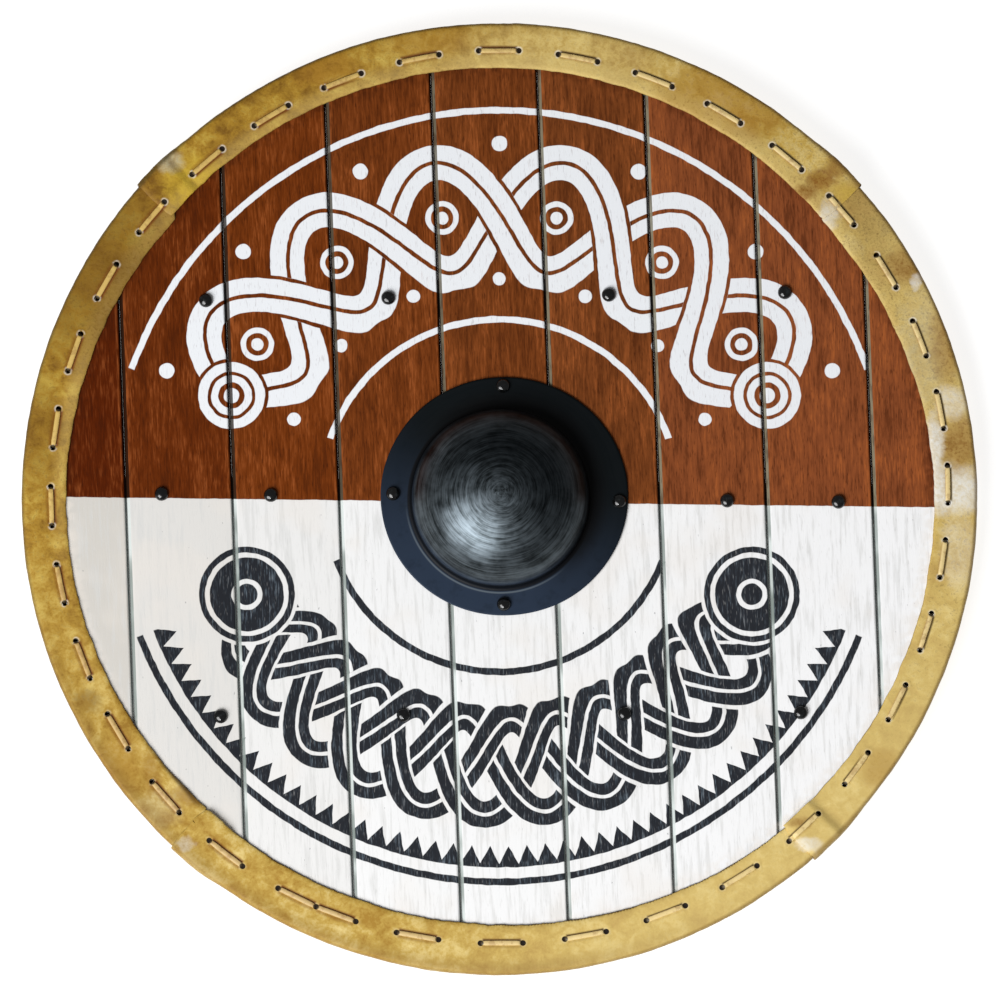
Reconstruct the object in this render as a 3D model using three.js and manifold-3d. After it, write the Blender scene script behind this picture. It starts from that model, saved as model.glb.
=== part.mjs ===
// A round plank shield lying on its back, painted face up, in millimetres with +Z up.
// The origin is on the surface it lies on, under the middle of the disc.
// +Y points to the top of the painted face and +X to its right.

import * as THREE from 'three';
import { mergeGeometries, mergeVertices } from 'three/addons/utils/BufferGeometryUtils.js';
import Module from 'manifold-3d';

const wasm = await Module();
wasm.setup();

const degree = Math.PI / 180;
const up = new THREE.Vector3(0, 0, 1);

// Fit between pieces that touch
const seam = 0.3;

// Disc of planks, glued edge to edge and sawn round: as wide as the boards, less the trim at each side
const plankCount = 9;
const plankPitch = 89.1;
const edgeTrim = 3.75;
const plankThickness = 11;
const plankLean = 2.1 * degree;
const leftBevel = 3.2;
const rightBevel = 2.2;
const grooveDepth = 2.2;

// Rawhide rim: four strips folded over the edge, each end lapped on its neighbour.
// A strip's front edge strays from the even cover by stray at its two ends and by bow between them.
const rimThickness = 2.5;
const rimFold = 1.6;
const frontCover = 40;
const backCover = 40;
const lapLength = 24;
const lapRelief = 3;
const lapRamp = 10;
const rimStrips = [
  { name: 'top', from: 41, fromOver: true, to: 139, toOver: true, stray: [3.1, -1.9], bow: 0 },
  { name: 'left', from: 139, fromOver: false, to: 227, toOver: false, stray: [2.3, -0.2], bow: -4 },
  { name: 'bottom', from: 227, fromOver: true, to: 311, toOver: false, stray: [3.1, -5.2], bow: 3.3 },
  { name: 'right', from: 311, fromOver: true, to: 401, toOver: false, stray: [-4.4, 3.9], bow: -1.3 },
];

// Lace: one running stitch round the rim, both ends down one hole and knotted behind
const stitchInset = 25;
const stitchPitch = 33.2;
const stitchWave = 1.2;
const laceWidth = 3.6;
const laceThickness = 1.8;
const laceClearance = 0.45;
const laceStart = 246.1 * degree;
const driftOnce = { size: 2.11 * degree, turn: 40.4 * degree };
const driftTwice = { size: 0.98 * degree, turn: 0 };
const knotReach = [5.6, 4.6, 2.8];

// Bars behind the planks: two battens and the grip, on whose undersides the shield lies
const barThickness = 18;
const barWidth = 32;
const barChamfer = 1.5;
const barEndBevel = 8;
const barEndGap = 12;
const gripWidth = 28;
const gripRounding = 6.5;
const gripShoulder = 16;
const upperBattenUp = 169.3;
const lowerBattenDown = 181.8;
const battenUpper = { name: 'batten_upper', height: upperBattenUp, rise: 0.79 * degree };
const battenLower = { name: 'batten_lower', height: -lowerBattenDown, rise: 0.39 * degree };
const grip = { name: 'grip_bar', height: 0, rise: -0.67 * degree };

// Rivets through the bars: the board each one is in, counted from the middle, and its place beside
// that board's middle line
const battenRivets = [
  { board: -3, beside: 28 },
  { board: -1, beside: 2.4 },
  { board: 1, beside: 8.6 },
  { board: 3, beside: -22.4 },
];
const gripRivets = [
  { board: -3, beside: -14.7 },
  { board: -2, beside: -12.7 },
  { board: 2, beside: 12 },
  { board: 3, beside: 15.7 },
];

// Iron boss: a hollow dome on a flange
const domeCentre = new THREE.Vector2(0.9, -0.8);
const domeRadius = 74.4;
const domeHeight = 60;
const neckHeight = 9;
const footFlare = 3.5;
const bossWall = 2;
const brimAcross = 29.2;
const brimAlong = 25.9;
const flangeShift = new THREE.Vector2(3.2, 1.9);
const handHoleLedge = 12.4;
const flangeRivets = [
  { name: 'rivet_boss_right', turn: -2.6 * degree, inset: 7.6 },
  { name: 'rivet_boss_top', turn: 90.7 * degree, inset: 7.8 },
  { name: 'rivet_boss_left', turn: 178.6 * degree, inset: 10.6 },
  { name: 'rivet_boss_bottom', turn: 269.8 * degree, inset: 9.8 },
];

// Iron rivets: domed head in front, clenched tail behind, sunk in the bars
const headRadius = 5.9;
const headHeight = 4.6;
const shankRadius = 2.4;
const tailRadius = 5.2;
const tailThickness = 2.2;
const tailCover = 1.6;

// Fineness of the round surfaces
const rimStep = 9 * degree;
const discSides = 60;
const domeSides = 26;
const domeRings = 5;
const flangeSides = 36;
const rivetSides = 6;
const runSamples = 8;
const holeSides = 5;

// Levels, from the surface that the shield lies on
const plankBack = barThickness + seam;
const plankFront = plankBack + plankThickness;
const bossSeat = plankFront + seam;
const tailSeat = tailCover + tailThickness + seam;

// Radii that follow from the sizes above
const woodRadius = plankCount * plankPitch / 2 - edgeTrim;
const shieldRadius = woodRadius + seam + rimThickness;
const stitchRadius = shieldRadius - stitchInset;
const handHoleRadius = domeRadius - bossWall - handHoleLedge;
const flangeHalf = new THREE.Vector2(domeRadius + brimAcross, domeRadius + brimAlong);
const flangeCentre = domeCentre.clone().add(flangeShift);

// Fixings and holes cross whole pieces, so their cutters run this far past them
const overcut = 5;

const finishes = {
  plank: new THREE.MeshStandardMaterial({ color: 0x7a3b22, roughness: 0.45, metalness: 0 }),
  whitePlank: new THREE.MeshStandardMaterial({ color: 0xe9e8e6, roughness: 0.6, metalness: 0 }),
  bar: new THREE.MeshStandardMaterial({ color: 0xa98256, roughness: 0.7, metalness: 0 }),
  rawhide: new THREE.MeshStandardMaterial({ color: 0xc8a54a, roughness: 0.55, metalness: 0 }),
  lace: new THREE.MeshStandardMaterial({ color: 0xe0c27a, roughness: 0.55, metalness: 0 }),
  boss: new THREE.MeshStandardMaterial({ color: 0x3b4550, roughness: 0.4, metalness: 0.9 }),
  rivet: new THREE.MeshStandardMaterial({ color: 0x14161a, roughness: 0.3, metalness: 0.8 }),
};

// Closed solid from a geometry, for joining and cutting
function solid(geometry) {
  const bare = new THREE.BufferGeometry();
  bare.setAttribute('position', geometry.getAttribute('position'));
  bare.setIndex(geometry.getIndex());
  const merged = mergeVertices(bare);
  return new wasm.Manifold(new wasm.Mesh({
    numProp: 3,
    vertProperties: new Float32Array(merged.getAttribute('position').array),
    triVerts: new Uint32Array(merged.getIndex().array),
  }));
}

// Geometry from a solid
function geometryOf(body) {
  const mesh = body.getMesh();
  const geometry = new THREE.BufferGeometry();
  geometry.setAttribute('position', new THREE.BufferAttribute(mesh.vertProperties, 3));
  geometry.setIndex(new THREE.BufferAttribute(mesh.triVerts, 1));
  return geometry;
}

// Turned form about the Z axis; its profile runs from the axis below to the axis above
function turned(profile, sides) {
  const points = profile.map(([radius, height]) => new THREE.Vector2(radius, height));
  return new THREE.LatheGeometry(points, sides).rotateX(Math.PI / 2);
}

// Upright round cutter whose flats stand clear of a round thing of the given radius
function roundCutter(radius, sides, x, y, low, high) {
  const reach = radius / Math.cos(Math.PI / sides);
  const cutter = new THREE.CylinderGeometry(reach, reach, high - low, sides).rotateX(Math.PI / 2);
  return cutter.translate(x, y, (low + high) / 2);
}

// Skin through rings of points, closed by a cap at each end; outline is the first ring, laid flat
function loft(rings, outline) {
  const count = outline.length;
  const positions = rings.flat().flatMap((point) => point.toArray());
  const faces = [];
  for (let ring = 0; ring + 1 < rings.length; ring += 1) {
    for (let corner = 0; corner < count; corner += 1) {
      const here = ring * count + corner;
      const beside = ring * count + (corner + 1) % count;
      faces.push(here, beside, beside + count);
      faces.push(here, beside + count, here + count);
    }
  }
  const last = (rings.length - 1) * count;
  for (const [a, b, c] of THREE.ShapeUtils.triangulateShape(outline, [])) {
    faces.push(c, b, a);
    faces.push(last + a, last + b, last + c);
  }
  const geometry = new THREE.BufferGeometry();
  geometry.setAttribute('position', new THREE.Float32BufferAttribute(positions, 3));
  geometry.setIndex(faces);
  return geometry;
}

// Angles where lace holes are punched: evenly spaced, with the drift of work done by hand
const stitchCount = 2 * Math.round((2 * Math.PI * stitchRadius / stitchPitch - 1) / 2) + 1;

function holeAngle(index) {
  const even = laceStart - index * 2 * Math.PI / stitchCount;
  const once = driftOnce.size * Math.cos(even + driftOnce.turn);
  const twice = driftTwice.size * Math.sin(2 * even + driftTwice.turn);
  return even + once - twice;
}

function holePlace(index) {
  const angle = holeAngle(index);
  const radius = stitchRadius + stitchWave * Math.sin(5 * angle);
  return new THREE.Vector3(radius * Math.cos(angle), radius * Math.sin(angle), 0);
}

// How far a strip is lifted off the wood at an angle, where it laps over a neighbour's end
function stripLift(strip, angle) {
  const lifted = lapLength + lapRelief;
  const rise = (distance) => THREE.MathUtils.clamp((lifted + lapRamp - distance) / lapRamp, 0, 1);
  const atStart = strip.fromOver ? rise((angle - strip.from * degree) * shieldRadius) : 0;
  const atEnd = strip.toOver ? rise((strip.to * degree - angle) * shieldRadius) : 0;
  return (rimThickness + seam) * Math.max(atStart, atEnd);
}

// Angles at which a strip starts and ends; an end that lies under runs on below its neighbour
function stripSpan(strip) {
  const tuck = lapLength / shieldRadius;
  const start = strip.from * degree - (strip.fromOver ? 0 : tuck);
  const end = strip.to * degree + (strip.toOver ? 0 : tuck);
  return { start, end };
}

// Highest lift of any strip at an angle
function rimLift(angle) {
  let highest = 0;
  for (const strip of rimStrips) {
    const { start, end } = stripSpan(strip);
    const turns = Math.ceil((start - angle) / (2 * Math.PI));
    const along = angle + turns * 2 * Math.PI;
    if (along <= end) highest = Math.max(highest, stripLift(strip, along));
  }
  return highest;
}

// U section of the rawhide, from the inner edge of its front cover round to the inner edge behind
function rimSection(lift, cover) {
  const around = 1 / Math.cos(rimStep / 2);
  const inside = (woodRadius + seam + lift) * around;
  const outside = inside + rimThickness;
  const frontInner = shieldRadius - cover;
  const backInner = shieldRadius - backCover;
  const frontFloor = plankFront + seam + lift;
  const backFloor = plankBack - seam - lift;
  const top = frontFloor + rimThickness;
  const bottom = backFloor - rimThickness;
  return [
    new THREE.Vector2(frontInner, frontFloor),
    new THREE.Vector2(inside, frontFloor),
    new THREE.Vector2(inside, backFloor),
    new THREE.Vector2(backInner, backFloor),
    new THREE.Vector2(backInner, bottom),
    new THREE.Vector2(outside - rimFold, bottom),
    new THREE.Vector2(outside, bottom + rimFold),
    new THREE.Vector2(outside, top - rimFold),
    new THREE.Vector2(outside - rimFold, top),
    new THREE.Vector2(frontInner, top),
  ];
}

function rimStrip(strip) {
  const { start, end } = stripSpan(strip);
  const steps = Math.ceil((end - start) / rimStep);
  const marks = Array.from({ length: steps + 1 }, (_, step) => start + (end - start) * step / steps);
  const lapMarks = [lapLength + lapRelief, lapLength + lapRelief + lapRamp];
  for (const mark of lapMarks) {
    if (strip.fromOver) marks.push(start + mark / shieldRadius);
    if (strip.toOver) marks.push(end - mark / shieldRadius);
  }
  marks.sort((a, b) => b - a);
  const sectionAt = (angle) => {
    const along = (angle - strip.from * degree) / ((strip.to - strip.from) * degree);
    const straight = frontCover + THREE.MathUtils.lerp(strip.stray[0], strip.stray[1], along);
    return rimSection(stripLift(strip, angle), straight + strip.bow * Math.sin(Math.PI * along));
  };
  const rings = marks.map((angle) => sectionAt(angle).map(
    (point) => new THREE.Vector3(point.x * Math.cos(angle), point.x * Math.sin(angle), point.y),
  ));
  return loft(rings, sectionAt(start));
}

// Square holes for the lace, through rawhide and wood; the one that takes both ends is longer
function laceHoles() {
  const side = laceWidth + 2 * laceClearance;
  const low = plankBack - 2 * (rimThickness + seam) - overcut;
  const high = plankFront + 2 * (rimThickness + seam) + overcut;
  const cutters = [];
  for (let index = 0; index < stitchCount; index += 1) {
    const along = index === 0 ? 2 * laceThickness + seam + 2 * laceClearance : side;
    const place = holePlace(index);
    const cutter = new THREE.BoxGeometry(side, along, high - low).rotateZ(holeAngle(index));
    cutters.push(cutter.translate(place.x, place.y, (low + high) / 2));
  }
  return solid(mergeGeometries(cutters));
}

// One run of lace between two holes, in front or behind, clear of the highest rawhide under it
function laceRun(index, front) {
  const start = holePlace(index);
  const end = holePlace(index + 1);
  const along = end.clone().sub(start).normalize();
  const across = along.clone().cross(up);
  if (index === 0) start.addScaledVector(along, (laceThickness + seam) / 2);
  if (index + 1 === stitchCount) end.addScaledVector(along, -(laceThickness + seam) / 2);
  const lifts = Array.from({ length: runSamples + 1 }, (_, sample) => rimLift(
    THREE.MathUtils.lerp(holeAngle(index), holeAngle(index + 1), sample / runSamples),
  ));
  const proud = Math.max(...lifts) + rimThickness + 2 * seam + laceThickness / 2;
  const height = front ? plankFront + proud : plankBack - proud;
  start.z = height;
  end.z = height;
  const startSide = front ? up.clone().sub(along) : up.clone().add(along);
  const endSide = front ? up.clone().add(along) : up.clone().sub(along);
  return [
    { centre: start, across, side: startSide },
    { centre: end, across, side: endSide },
  ];
}

function lace() {
  const bends = [];
  for (let index = 0; index < stitchCount; index += 1) bends.push(...laceRun(index, index % 2 === 0));
  const knotCentre = holePlace(0).setZ(plankBack - 2 * seam - rimThickness - knotReach[2]);
  const downToKnot = ({ centre, across, side }) => (
    { centre: centre.clone().setZ(knotCentre.z), across, side: side.clone().setZ(0) }
  );
  bends.unshift(downToKnot(bends[0]));
  bends.push(downToKnot(bends[bends.length - 1]));
  const rings = bends.map(({ centre, across, side }) => {
    const corner = (widthSign, sideSign) => centre.clone()
      .addScaledVector(across, widthSign * laceWidth / 2)
      .addScaledVector(side, sideSign * laceThickness / 2);
    return [corner(1, 1), corner(1, -1), corner(-1, -1), corner(-1, 1)];
  });
  const square = [[1, 1], [1, -1], [-1, -1], [-1, 1]].map(([x, y]) => new THREE.Vector2(x, -y));
  const knot = new THREE.IcosahedronGeometry(1, 0).scale(...knotReach);
  knot.rotateZ(holeAngle(0) + Math.PI / 2).translate(knotCentre.x, knotCentre.y, knotCentre.z);
  return geometryOf(solid(loft(rings, square)).add(solid(knot)));
}

// Half-length that keeps a bar's corners clear of the rawhide behind
function barHalfLength(bar) {
  const reach = shieldRadius - backCover - barEndGap;
  const farEdge = Math.abs(bar.height) + barWidth / 2;
  return Math.sqrt(reach * reach - farEdge * farEdge);
}

// Where a bar's middle line crosses a line that runs beside a board's own, in plan
function barRivetPlace(bar, { board, beside }) {
  const across = board * plankPitch + beside;
  const slope = Math.tan(bar.rise);
  const lean = { cos: Math.cos(plankLean), sin: Math.sin(plankLean) };
  const along = (bar.height + across * (slope * lean.cos - lean.sin)) / (lean.cos + slope * lean.sin);
  return new THREE.Vector2(across * lean.cos - along * lean.sin, across * lean.sin + along * lean.cos);
}

// Where the flange takes its rivets
function flangeRivetPlace({ turn, inset }) {
  const across = (flangeHalf.x - inset) * Math.cos(turn);
  const along = (flangeHalf.y - inset) * Math.sin(turn);
  return flangeCentre.clone().add(new THREE.Vector2(across, along));
}

const rivetRows = [
  { row: 'upper', bar: battenUpper, rivets: battenRivets },
  { row: 'middle', bar: grip, rivets: gripRivets },
  { row: 'lower', bar: battenLower, rivets: battenRivets },
];
const barRivets = rivetRows.flatMap(({ row, bar, rivets }) => rivets.map(
  (rivet, index) => ({ name: `rivet_${row}_${index + 1}`, place: barRivetPlace(bar, rivet) }),
));
const bossRivets = flangeRivets.map((rivet) => ({ name: rivet.name, place: flangeRivetPlace(rivet) }));
const onGrip = (place) => Math.abs(place.y - grip.height) < barWidth / 2;

// Shank holes through planks, bars and flange
function shankHoles() {
  const low = -overcut;
  const high = bossSeat + bossWall + overcut;
  const cutters = [...barRivets, ...bossRivets].map(
    ({ place }) => roundCutter(shankRadius + seam, holeSides, place.x, place.y, low, high),
  );
  return solid(mergeGeometries(cutters));
}

// Recesses that sink the tails into the undersides of the bars
function tailRecesses() {
  const sunk = [...barRivets, ...bossRivets.filter(({ place }) => onGrip(place))];
  const cutters = sunk.map(
    ({ place }) => roundCutter(tailRadius + seam, rivetSides, place.x, place.y, -overcut, tailSeat),
  );
  return solid(mergeGeometries(cutters));
}

function rivet(place, frontSeat, backSeat) {
  const head = frontSeat + seam;
  const tail = backSeat - seam;
  const profile = [
    [0, tail - tailThickness],
    [tailRadius, tail - tailThickness / 2],
    [shankRadius, tail],
    [shankRadius, head],
    [headRadius, head],
    [headRadius * 0.82, head + headHeight * 0.62],
    [0, head + headHeight],
  ];
  return turned(profile, rivetSides).translate(place.x, place.y, 0);
}

// Eight-sided bar along X, its sections given by place, width, rounding and underside
function barBody(bar, stations) {
  const rings = stations.map(({ along, width, rounding, underside }) => {
    const half = width / 2;
    const section = [
      [-half + rounding, underside], [half - rounding, underside],
      [half, underside + rounding], [half, barThickness - rounding],
      [half - rounding, barThickness], [-half + rounding, barThickness],
      [-half, barThickness - rounding], [-half, underside + rounding],
    ];
    return section.map(([across, height]) => new THREE.Vector3(along, across, height));
  });
  const outline = rings[0].map((point) => new THREE.Vector2(point.y, point.z));
  const body = loft(rings, outline).rotateZ(bar.rise).translate(0, bar.height, 0);
  return solid(body);
}

function battenStations(bar) {
  const half = barHalfLength(bar);
  const plain = { width: barWidth, rounding: barChamfer, underside: 0 };
  const tip = { ...plain, underside: barEndBevel };
  return [
    { ...tip, along: -half },
    { ...plain, along: -half + barEndBevel },
    { ...plain, along: half - barEndBevel },
    { ...tip, along: half },
  ];
}

function gripStations() {
  const [leftTip, leftFull, rightFull, rightTip] = battenStations(grip);
  const hand = { width: gripWidth, rounding: gripRounding, underside: 0 };
  const shoulder = handHoleRadius + gripShoulder;
  return [
    leftTip,
    leftFull,
    { ...leftFull, along: domeCentre.x - shoulder },
    { ...hand, along: domeCentre.x - handHoleRadius },
    { ...hand, along: domeCentre.x + handHoleRadius },
    { ...leftFull, along: domeCentre.x + shoulder },
    rightFull,
    rightTip,
  ];
}

// One plank, before the disc is cut round: a board with its front edges bevelled where it has a neighbour
function board(left, right, hasLeft, hasRight) {
  const shape = new THREE.Shape();
  shape.moveTo(left, plankBack);
  shape.lineTo(right, plankBack);
  if (hasRight) {
    shape.lineTo(right, plankFront - grooveDepth);
    shape.lineTo(right - rightBevel, plankFront);
  } else {
    shape.lineTo(right, plankFront);
  }
  if (hasLeft) {
    shape.lineTo(left + leftBevel, plankFront);
    shape.lineTo(left, plankFront - grooveDepth);
  } else {
    shape.lineTo(left, plankFront);
  }
  const length = 2 * (woodRadius + overcut);
  const sawn = new THREE.ExtrudeGeometry(shape, { depth: length, bevelEnabled: false });
  return solid(sawn.rotateX(Math.PI / 2).translate(0, length / 2, 0).rotateZ(plankLean));
}

function planks(cuts) {
  const middle = (plankCount - 1) / 2;
  const low = plankBack - overcut;
  const high = plankFront + overcut;
  const disc = new THREE.CylinderGeometry(woodRadius, woodRadius, high - low, discSides).rotateX(Math.PI / 2);
  const round = solid(disc.translate(0, 0, (low + high) / 2));
  const handHole = solid(roundCutter(handHoleRadius, domeSides, domeCentre.x, domeCentre.y, low, high));
  const pieces = [];
  for (let index = 0; index < plankCount; index += 1) {
    const left = (index - middle - 0.5) * plankPitch + seam / 2;
    const right = (index - middle + 0.5) * plankPitch - seam / 2;
    const whole = board(left, right, index > 0, index + 1 < plankCount).intersect(round);
    const cut = cuts.reduce((body, cutter) => body.subtract(cutter), whole.subtract(handHole));
    const name = `plank_${index + 1}`;
    const parts = cut.decompose();
    if (parts.length === 1) {
      pieces.push({ name, body: cut, finish: finishes.plank });
      continue;
    }
    parts.sort((a, b) => b.boundingBox().max[1] - a.boundingBox().max[1]);
    pieces.push({ name: `${name}_upper`, body: parts[0], finish: finishes.plank });
    pieces.push({ name: `${name}_lower`, body: parts[1], finish: finishes.whitePlank });
  }
  return pieces;
}

// Quarter ellipse from the neck to the top of the dome
function cap(radius, foot, top) {
  return Array.from({ length: domeRings + 1 }, (_, ring) => {
    const turn = ring / domeRings * Math.PI / 2;
    const across = ring === domeRings ? 0 : radius * Math.cos(turn);
    return [across, foot + (top - foot) * Math.sin(turn)];
  });
}

function boss(shanks) {
  const flangeTop = bossSeat + bossWall;
  const shoulder = bossSeat + neckHeight;
  const top = bossSeat + domeHeight;
  const innerRadius = domeRadius - bossWall;
  const outer = turned([
    [0, bossSeat],
    [domeRadius + footFlare, bossSeat],
    [domeRadius + footFlare, flangeTop],
    [domeRadius, flangeTop + footFlare],
    ...cap(domeRadius, shoulder, top),
  ], domeSides);
  const inner = turned([
    [0, bossSeat - overcut],
    [innerRadius, bossSeat - overcut],
    ...cap(innerRadius, shoulder, top - bossWall),
  ], domeSides);
  const flange = new THREE.CylinderGeometry(1, 1, bossWall, flangeSides).rotateX(Math.PI / 2);
  flange.scale(flangeHalf.x, flangeHalf.y, 1);
  flange.translate(flangeCentre.x, flangeCentre.y, bossSeat + bossWall / 2);
  const shell = solid(outer.translate(domeCentre.x, domeCentre.y, 0)).add(solid(flange));
  return shell.subtract(solid(inner.translate(domeCentre.x, domeCentre.y, 0))).subtract(shanks);
}

const shield = new THREE.Group();

function addPiece(name, geometry, finish) {
  const mesh = new THREE.Mesh(geometry, finish);
  mesh.name = name;
  shield.add(mesh);
}

const punched = laceHoles();
const shanks = shankHoles();
const recesses = tailRecesses();

for (const { name, body, finish } of planks([punched, shanks])) addPiece(name, geometryOf(body), finish);
for (const strip of rimStrips) {
  addPiece(`rim_strip_${strip.name}`, geometryOf(solid(rimStrip(strip)).subtract(punched)), finishes.rawhide);
}
addPiece('lace', lace(), finishes.lace);
for (const bar of [battenUpper, battenLower]) {
  const body = barBody(bar, battenStations(bar)).subtract(shanks).subtract(recesses);
  addPiece(bar.name, geometryOf(body), finishes.bar);
}
const gripBody = barBody(grip, gripStations()).subtract(shanks).subtract(recesses);
addPiece(grip.name, geometryOf(gripBody), finishes.bar);
addPiece('boss', geometryOf(boss(shanks)), finishes.boss);
for (const { name, place } of barRivets) {
  addPiece(name, rivet(place, plankFront, tailSeat), finishes.rivet);
}
for (const { name, place } of bossRivets) {
  const backSeat = onGrip(place) ? tailSeat : plankBack;
  addPiece(name, rivet(place, bossSeat + bossWall, backSeat), finishes.rivet);
}

export default shield;
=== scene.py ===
"""A round plank shield lying on its back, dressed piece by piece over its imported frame."""

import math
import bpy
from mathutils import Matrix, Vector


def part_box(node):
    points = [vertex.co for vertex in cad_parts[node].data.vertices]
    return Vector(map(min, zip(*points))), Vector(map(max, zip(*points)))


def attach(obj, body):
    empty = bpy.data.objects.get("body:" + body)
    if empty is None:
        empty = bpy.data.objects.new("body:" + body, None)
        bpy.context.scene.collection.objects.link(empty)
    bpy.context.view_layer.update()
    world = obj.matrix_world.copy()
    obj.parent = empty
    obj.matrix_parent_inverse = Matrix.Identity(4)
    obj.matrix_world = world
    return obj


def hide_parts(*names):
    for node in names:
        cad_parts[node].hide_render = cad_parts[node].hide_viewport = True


bl_info = {
    "name": "Round plank shield",
    "version": (1, 0, 0),
    "blender": (4, 5, 0),
    "location": "3D View > Sidebar > Shield",
    "description": "Boards, rawhide rim, lace, boss, rivets and bars of a round shield, over its frame",
    "category": "Object",
}

import bpy
from bpy.props import FloatProperty, FloatVectorProperty, PointerProperty
from mathutils import Matrix, Vector, noise

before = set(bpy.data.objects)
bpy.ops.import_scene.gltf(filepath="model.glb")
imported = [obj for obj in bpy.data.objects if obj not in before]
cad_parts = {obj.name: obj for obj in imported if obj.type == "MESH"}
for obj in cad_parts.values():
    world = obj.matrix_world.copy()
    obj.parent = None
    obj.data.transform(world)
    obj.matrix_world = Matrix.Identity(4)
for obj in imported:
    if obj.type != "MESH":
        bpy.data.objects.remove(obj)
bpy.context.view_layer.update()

MM = 0.001
TURN = 2 * math.pi

# Levels and radii of the frame, in millimetres
BOARD_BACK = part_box("plank_4")[0].z / MM
BOARD_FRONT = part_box("plank_4")[1].z / MM
WOOD_RADIUS = -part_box("plank_1")[0].x / MM
RIM_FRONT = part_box("rim_strip_left")[1].z / MM
RIM_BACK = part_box("rim_strip_left")[0].z / MM
BOSS_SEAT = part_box("boss")[0].z / MM
BOSS_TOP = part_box("boss")[1].z / MM
BAR_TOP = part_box("batten_upper")[1].z / MM
LACE_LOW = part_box("lace")[0].z / MM

BOARD_COUNT = 9
HOLE_COUNT = 71
PAINT_BLUR = 0.3

# The four strips of rawhide: the angles each runs between, in degrees, whether its ends lie over
# their neighbours, and how far its front edge strays from the even cover at its ends and midway
RIM_STRIPS = (
    {"name": "top", "span": (41, 139), "over": (True, True), "stray": (3.1, -1.9), "bow": -2.2},
    {"name": "left", "span": (139, 227), "over": (False, False), "stray": (2.0, 3.2), "bow": -4.6},
    {"name": "bottom", "span": (227, 311), "over": (True, False), "stray": (3.1, -5.2), "bow": 3.3},
    {"name": "right", "span": (311, 401), "over": (True, False), "stray": (-2.6, 3.9), "bow": -4.2},
)

# Stains and scuffs of the rawhide: where each lies and how far it reaches along X and Y, in
# millimetres, its colour, how much of it shows, and whether it is on a lap, under one, or both
RAWHIDE_STAINS = (
    ((-335, 190), (100, 105), "hide_olive", 0.75, "under"),
    ((-386, 60), (26, 70), "hide_olive", 0.4, "both"),
    ((-222, 312), (60, 46), "hide_yellow", 0.8, "lap"),
    ((-255, 262), (34, 34), "hide_yellow", 0.75, "both"),
    ((-276, 282), (15, 13), "hide_grey", 0.75, "both"),
    ((-274, 293), (8, 7), "hide_brown", 0.6, "both"),
    ((-212, 336), (18, 9), "hide_brown", 0.35, "both"),
    ((56, 372), (120, 44), "hide_light", 0.5, "both"),
    ((-150, 362), (40, 22), "hide_amber", 0.7, "both"),
    ((-60, 386), (50, 20), "hide_amber", 0.5, "both"),
    ((190, 334), (80, 40), "hide_amber", 0.6, "both"),
    ((256, 257), (15, 11), "hide_umber", 0.95, "both"),
    ((270, 269), (16, 12), "hide_umber", 1.0, "both"),
    ((283, 279), (13, 10), "hide_umber", 0.8, "both"),
    ((292, 254), (16, 14), "hide_yellow", 0.5, "lap"),
    ((306, 240), (30, 30), "hide_brown", 0.3, "under"),
    ((276, 238), (12, 14), "hide_pale", 0.6, "both"),
    ((334, 212), (44, 44), "hide_olive", 0.22, "under"),
    ((342, 196), (22, 20), "hide_umber", 0.7, "both"),
    ((349, 182), (6, 10), "hide_pale", 0.7, "both"),
    ((352, 120), (26, 66), "hide_grey", 0.35, "both"),
    ((374, 134), (18, 50), "hide_umber", 0.6, "both"),
    ((378, 80), (18, 18), "hide_pale", 0.6, "both"),
    ((385, 46), (20, 32), "hide_umber", 0.75, "both"),
    ((362, 42), (13, 34), "hide_pale", 1.0, "both"),
    ((377, 6), (42, 26), "hide_pale", 0.95, "both"),
    ((384, -45), (20, 40), "hide_pale", 0.3, "both"),
    ((322, -230), (26, 24), "hide_amber", 0.45, "both"),
    ((250, -271), (11, 7), "hide_umber", 0.7, "both"),
    ((258, -291), (15, 10), "hide_pale", 0.65, "both"),
    ((-258, -250), (20, 10), "hide_umber", 0.6, "both"),
    ((-290, -232), (10, 26), "hide_umber", 0.4, "both"),
    ((-284, -262), (24, 20), "hide_grey", 0.25, "both"),
    ((-262, -292), (10, 8), "hide_pale", 0.5, "both"),
    ((-318, -226), (26, 30), "hide_amber", 0.45, "both"),
    ((-342, -171), (15, 14), "hide_brown", 0.55, "both"),
)


def clamp(value, low=0.0, high=1.0):
    return max(low, min(high, value))


def lerp(start, end, share):
    return start + (end - start) * share


def smooth(share):
    share = clamp(share)
    return share * share * (3 - 2 * share)


def even_steps(start, end, step):
    """Numbers from start to end, both included, no more than a step apart."""
    count = max(1, math.ceil(abs(end - start) / step))
    return [lerp(start, end, index / count) for index in range(count + 1)]


def ripple(size, *place):
    """Smooth noise from -1 to 1 whose waves are about as long as size."""
    return noise.noise(Vector([part / size for part in place] + [0.37] * (3 - len(place))))


def linear(red, green, blue):
    """A screen colour, its parts from 0 to 255, as Blender's linear colour."""
    parts = [part / 255 for part in (red, green, blue)]
    return [part / 12.92 if part <= 0.04045 else ((part + 0.055) / 1.055) ** 2.4 for part in parts]


def length(name, millimetres, description):
    return FloatProperty(
        name=name, description=description, default=millimetres * MM, unit="LENGTH", precision=5
    )


def turn(name, degrees, description):
    return FloatProperty(name=name, description=description, default=math.radians(degrees), unit="ROTATION")


def colour(name, screen, description):
    return FloatVectorProperty(
        name=name, description=description, default=linear(*screen), size=3, min=0, max=1, subtype="COLOR"
    )


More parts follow.
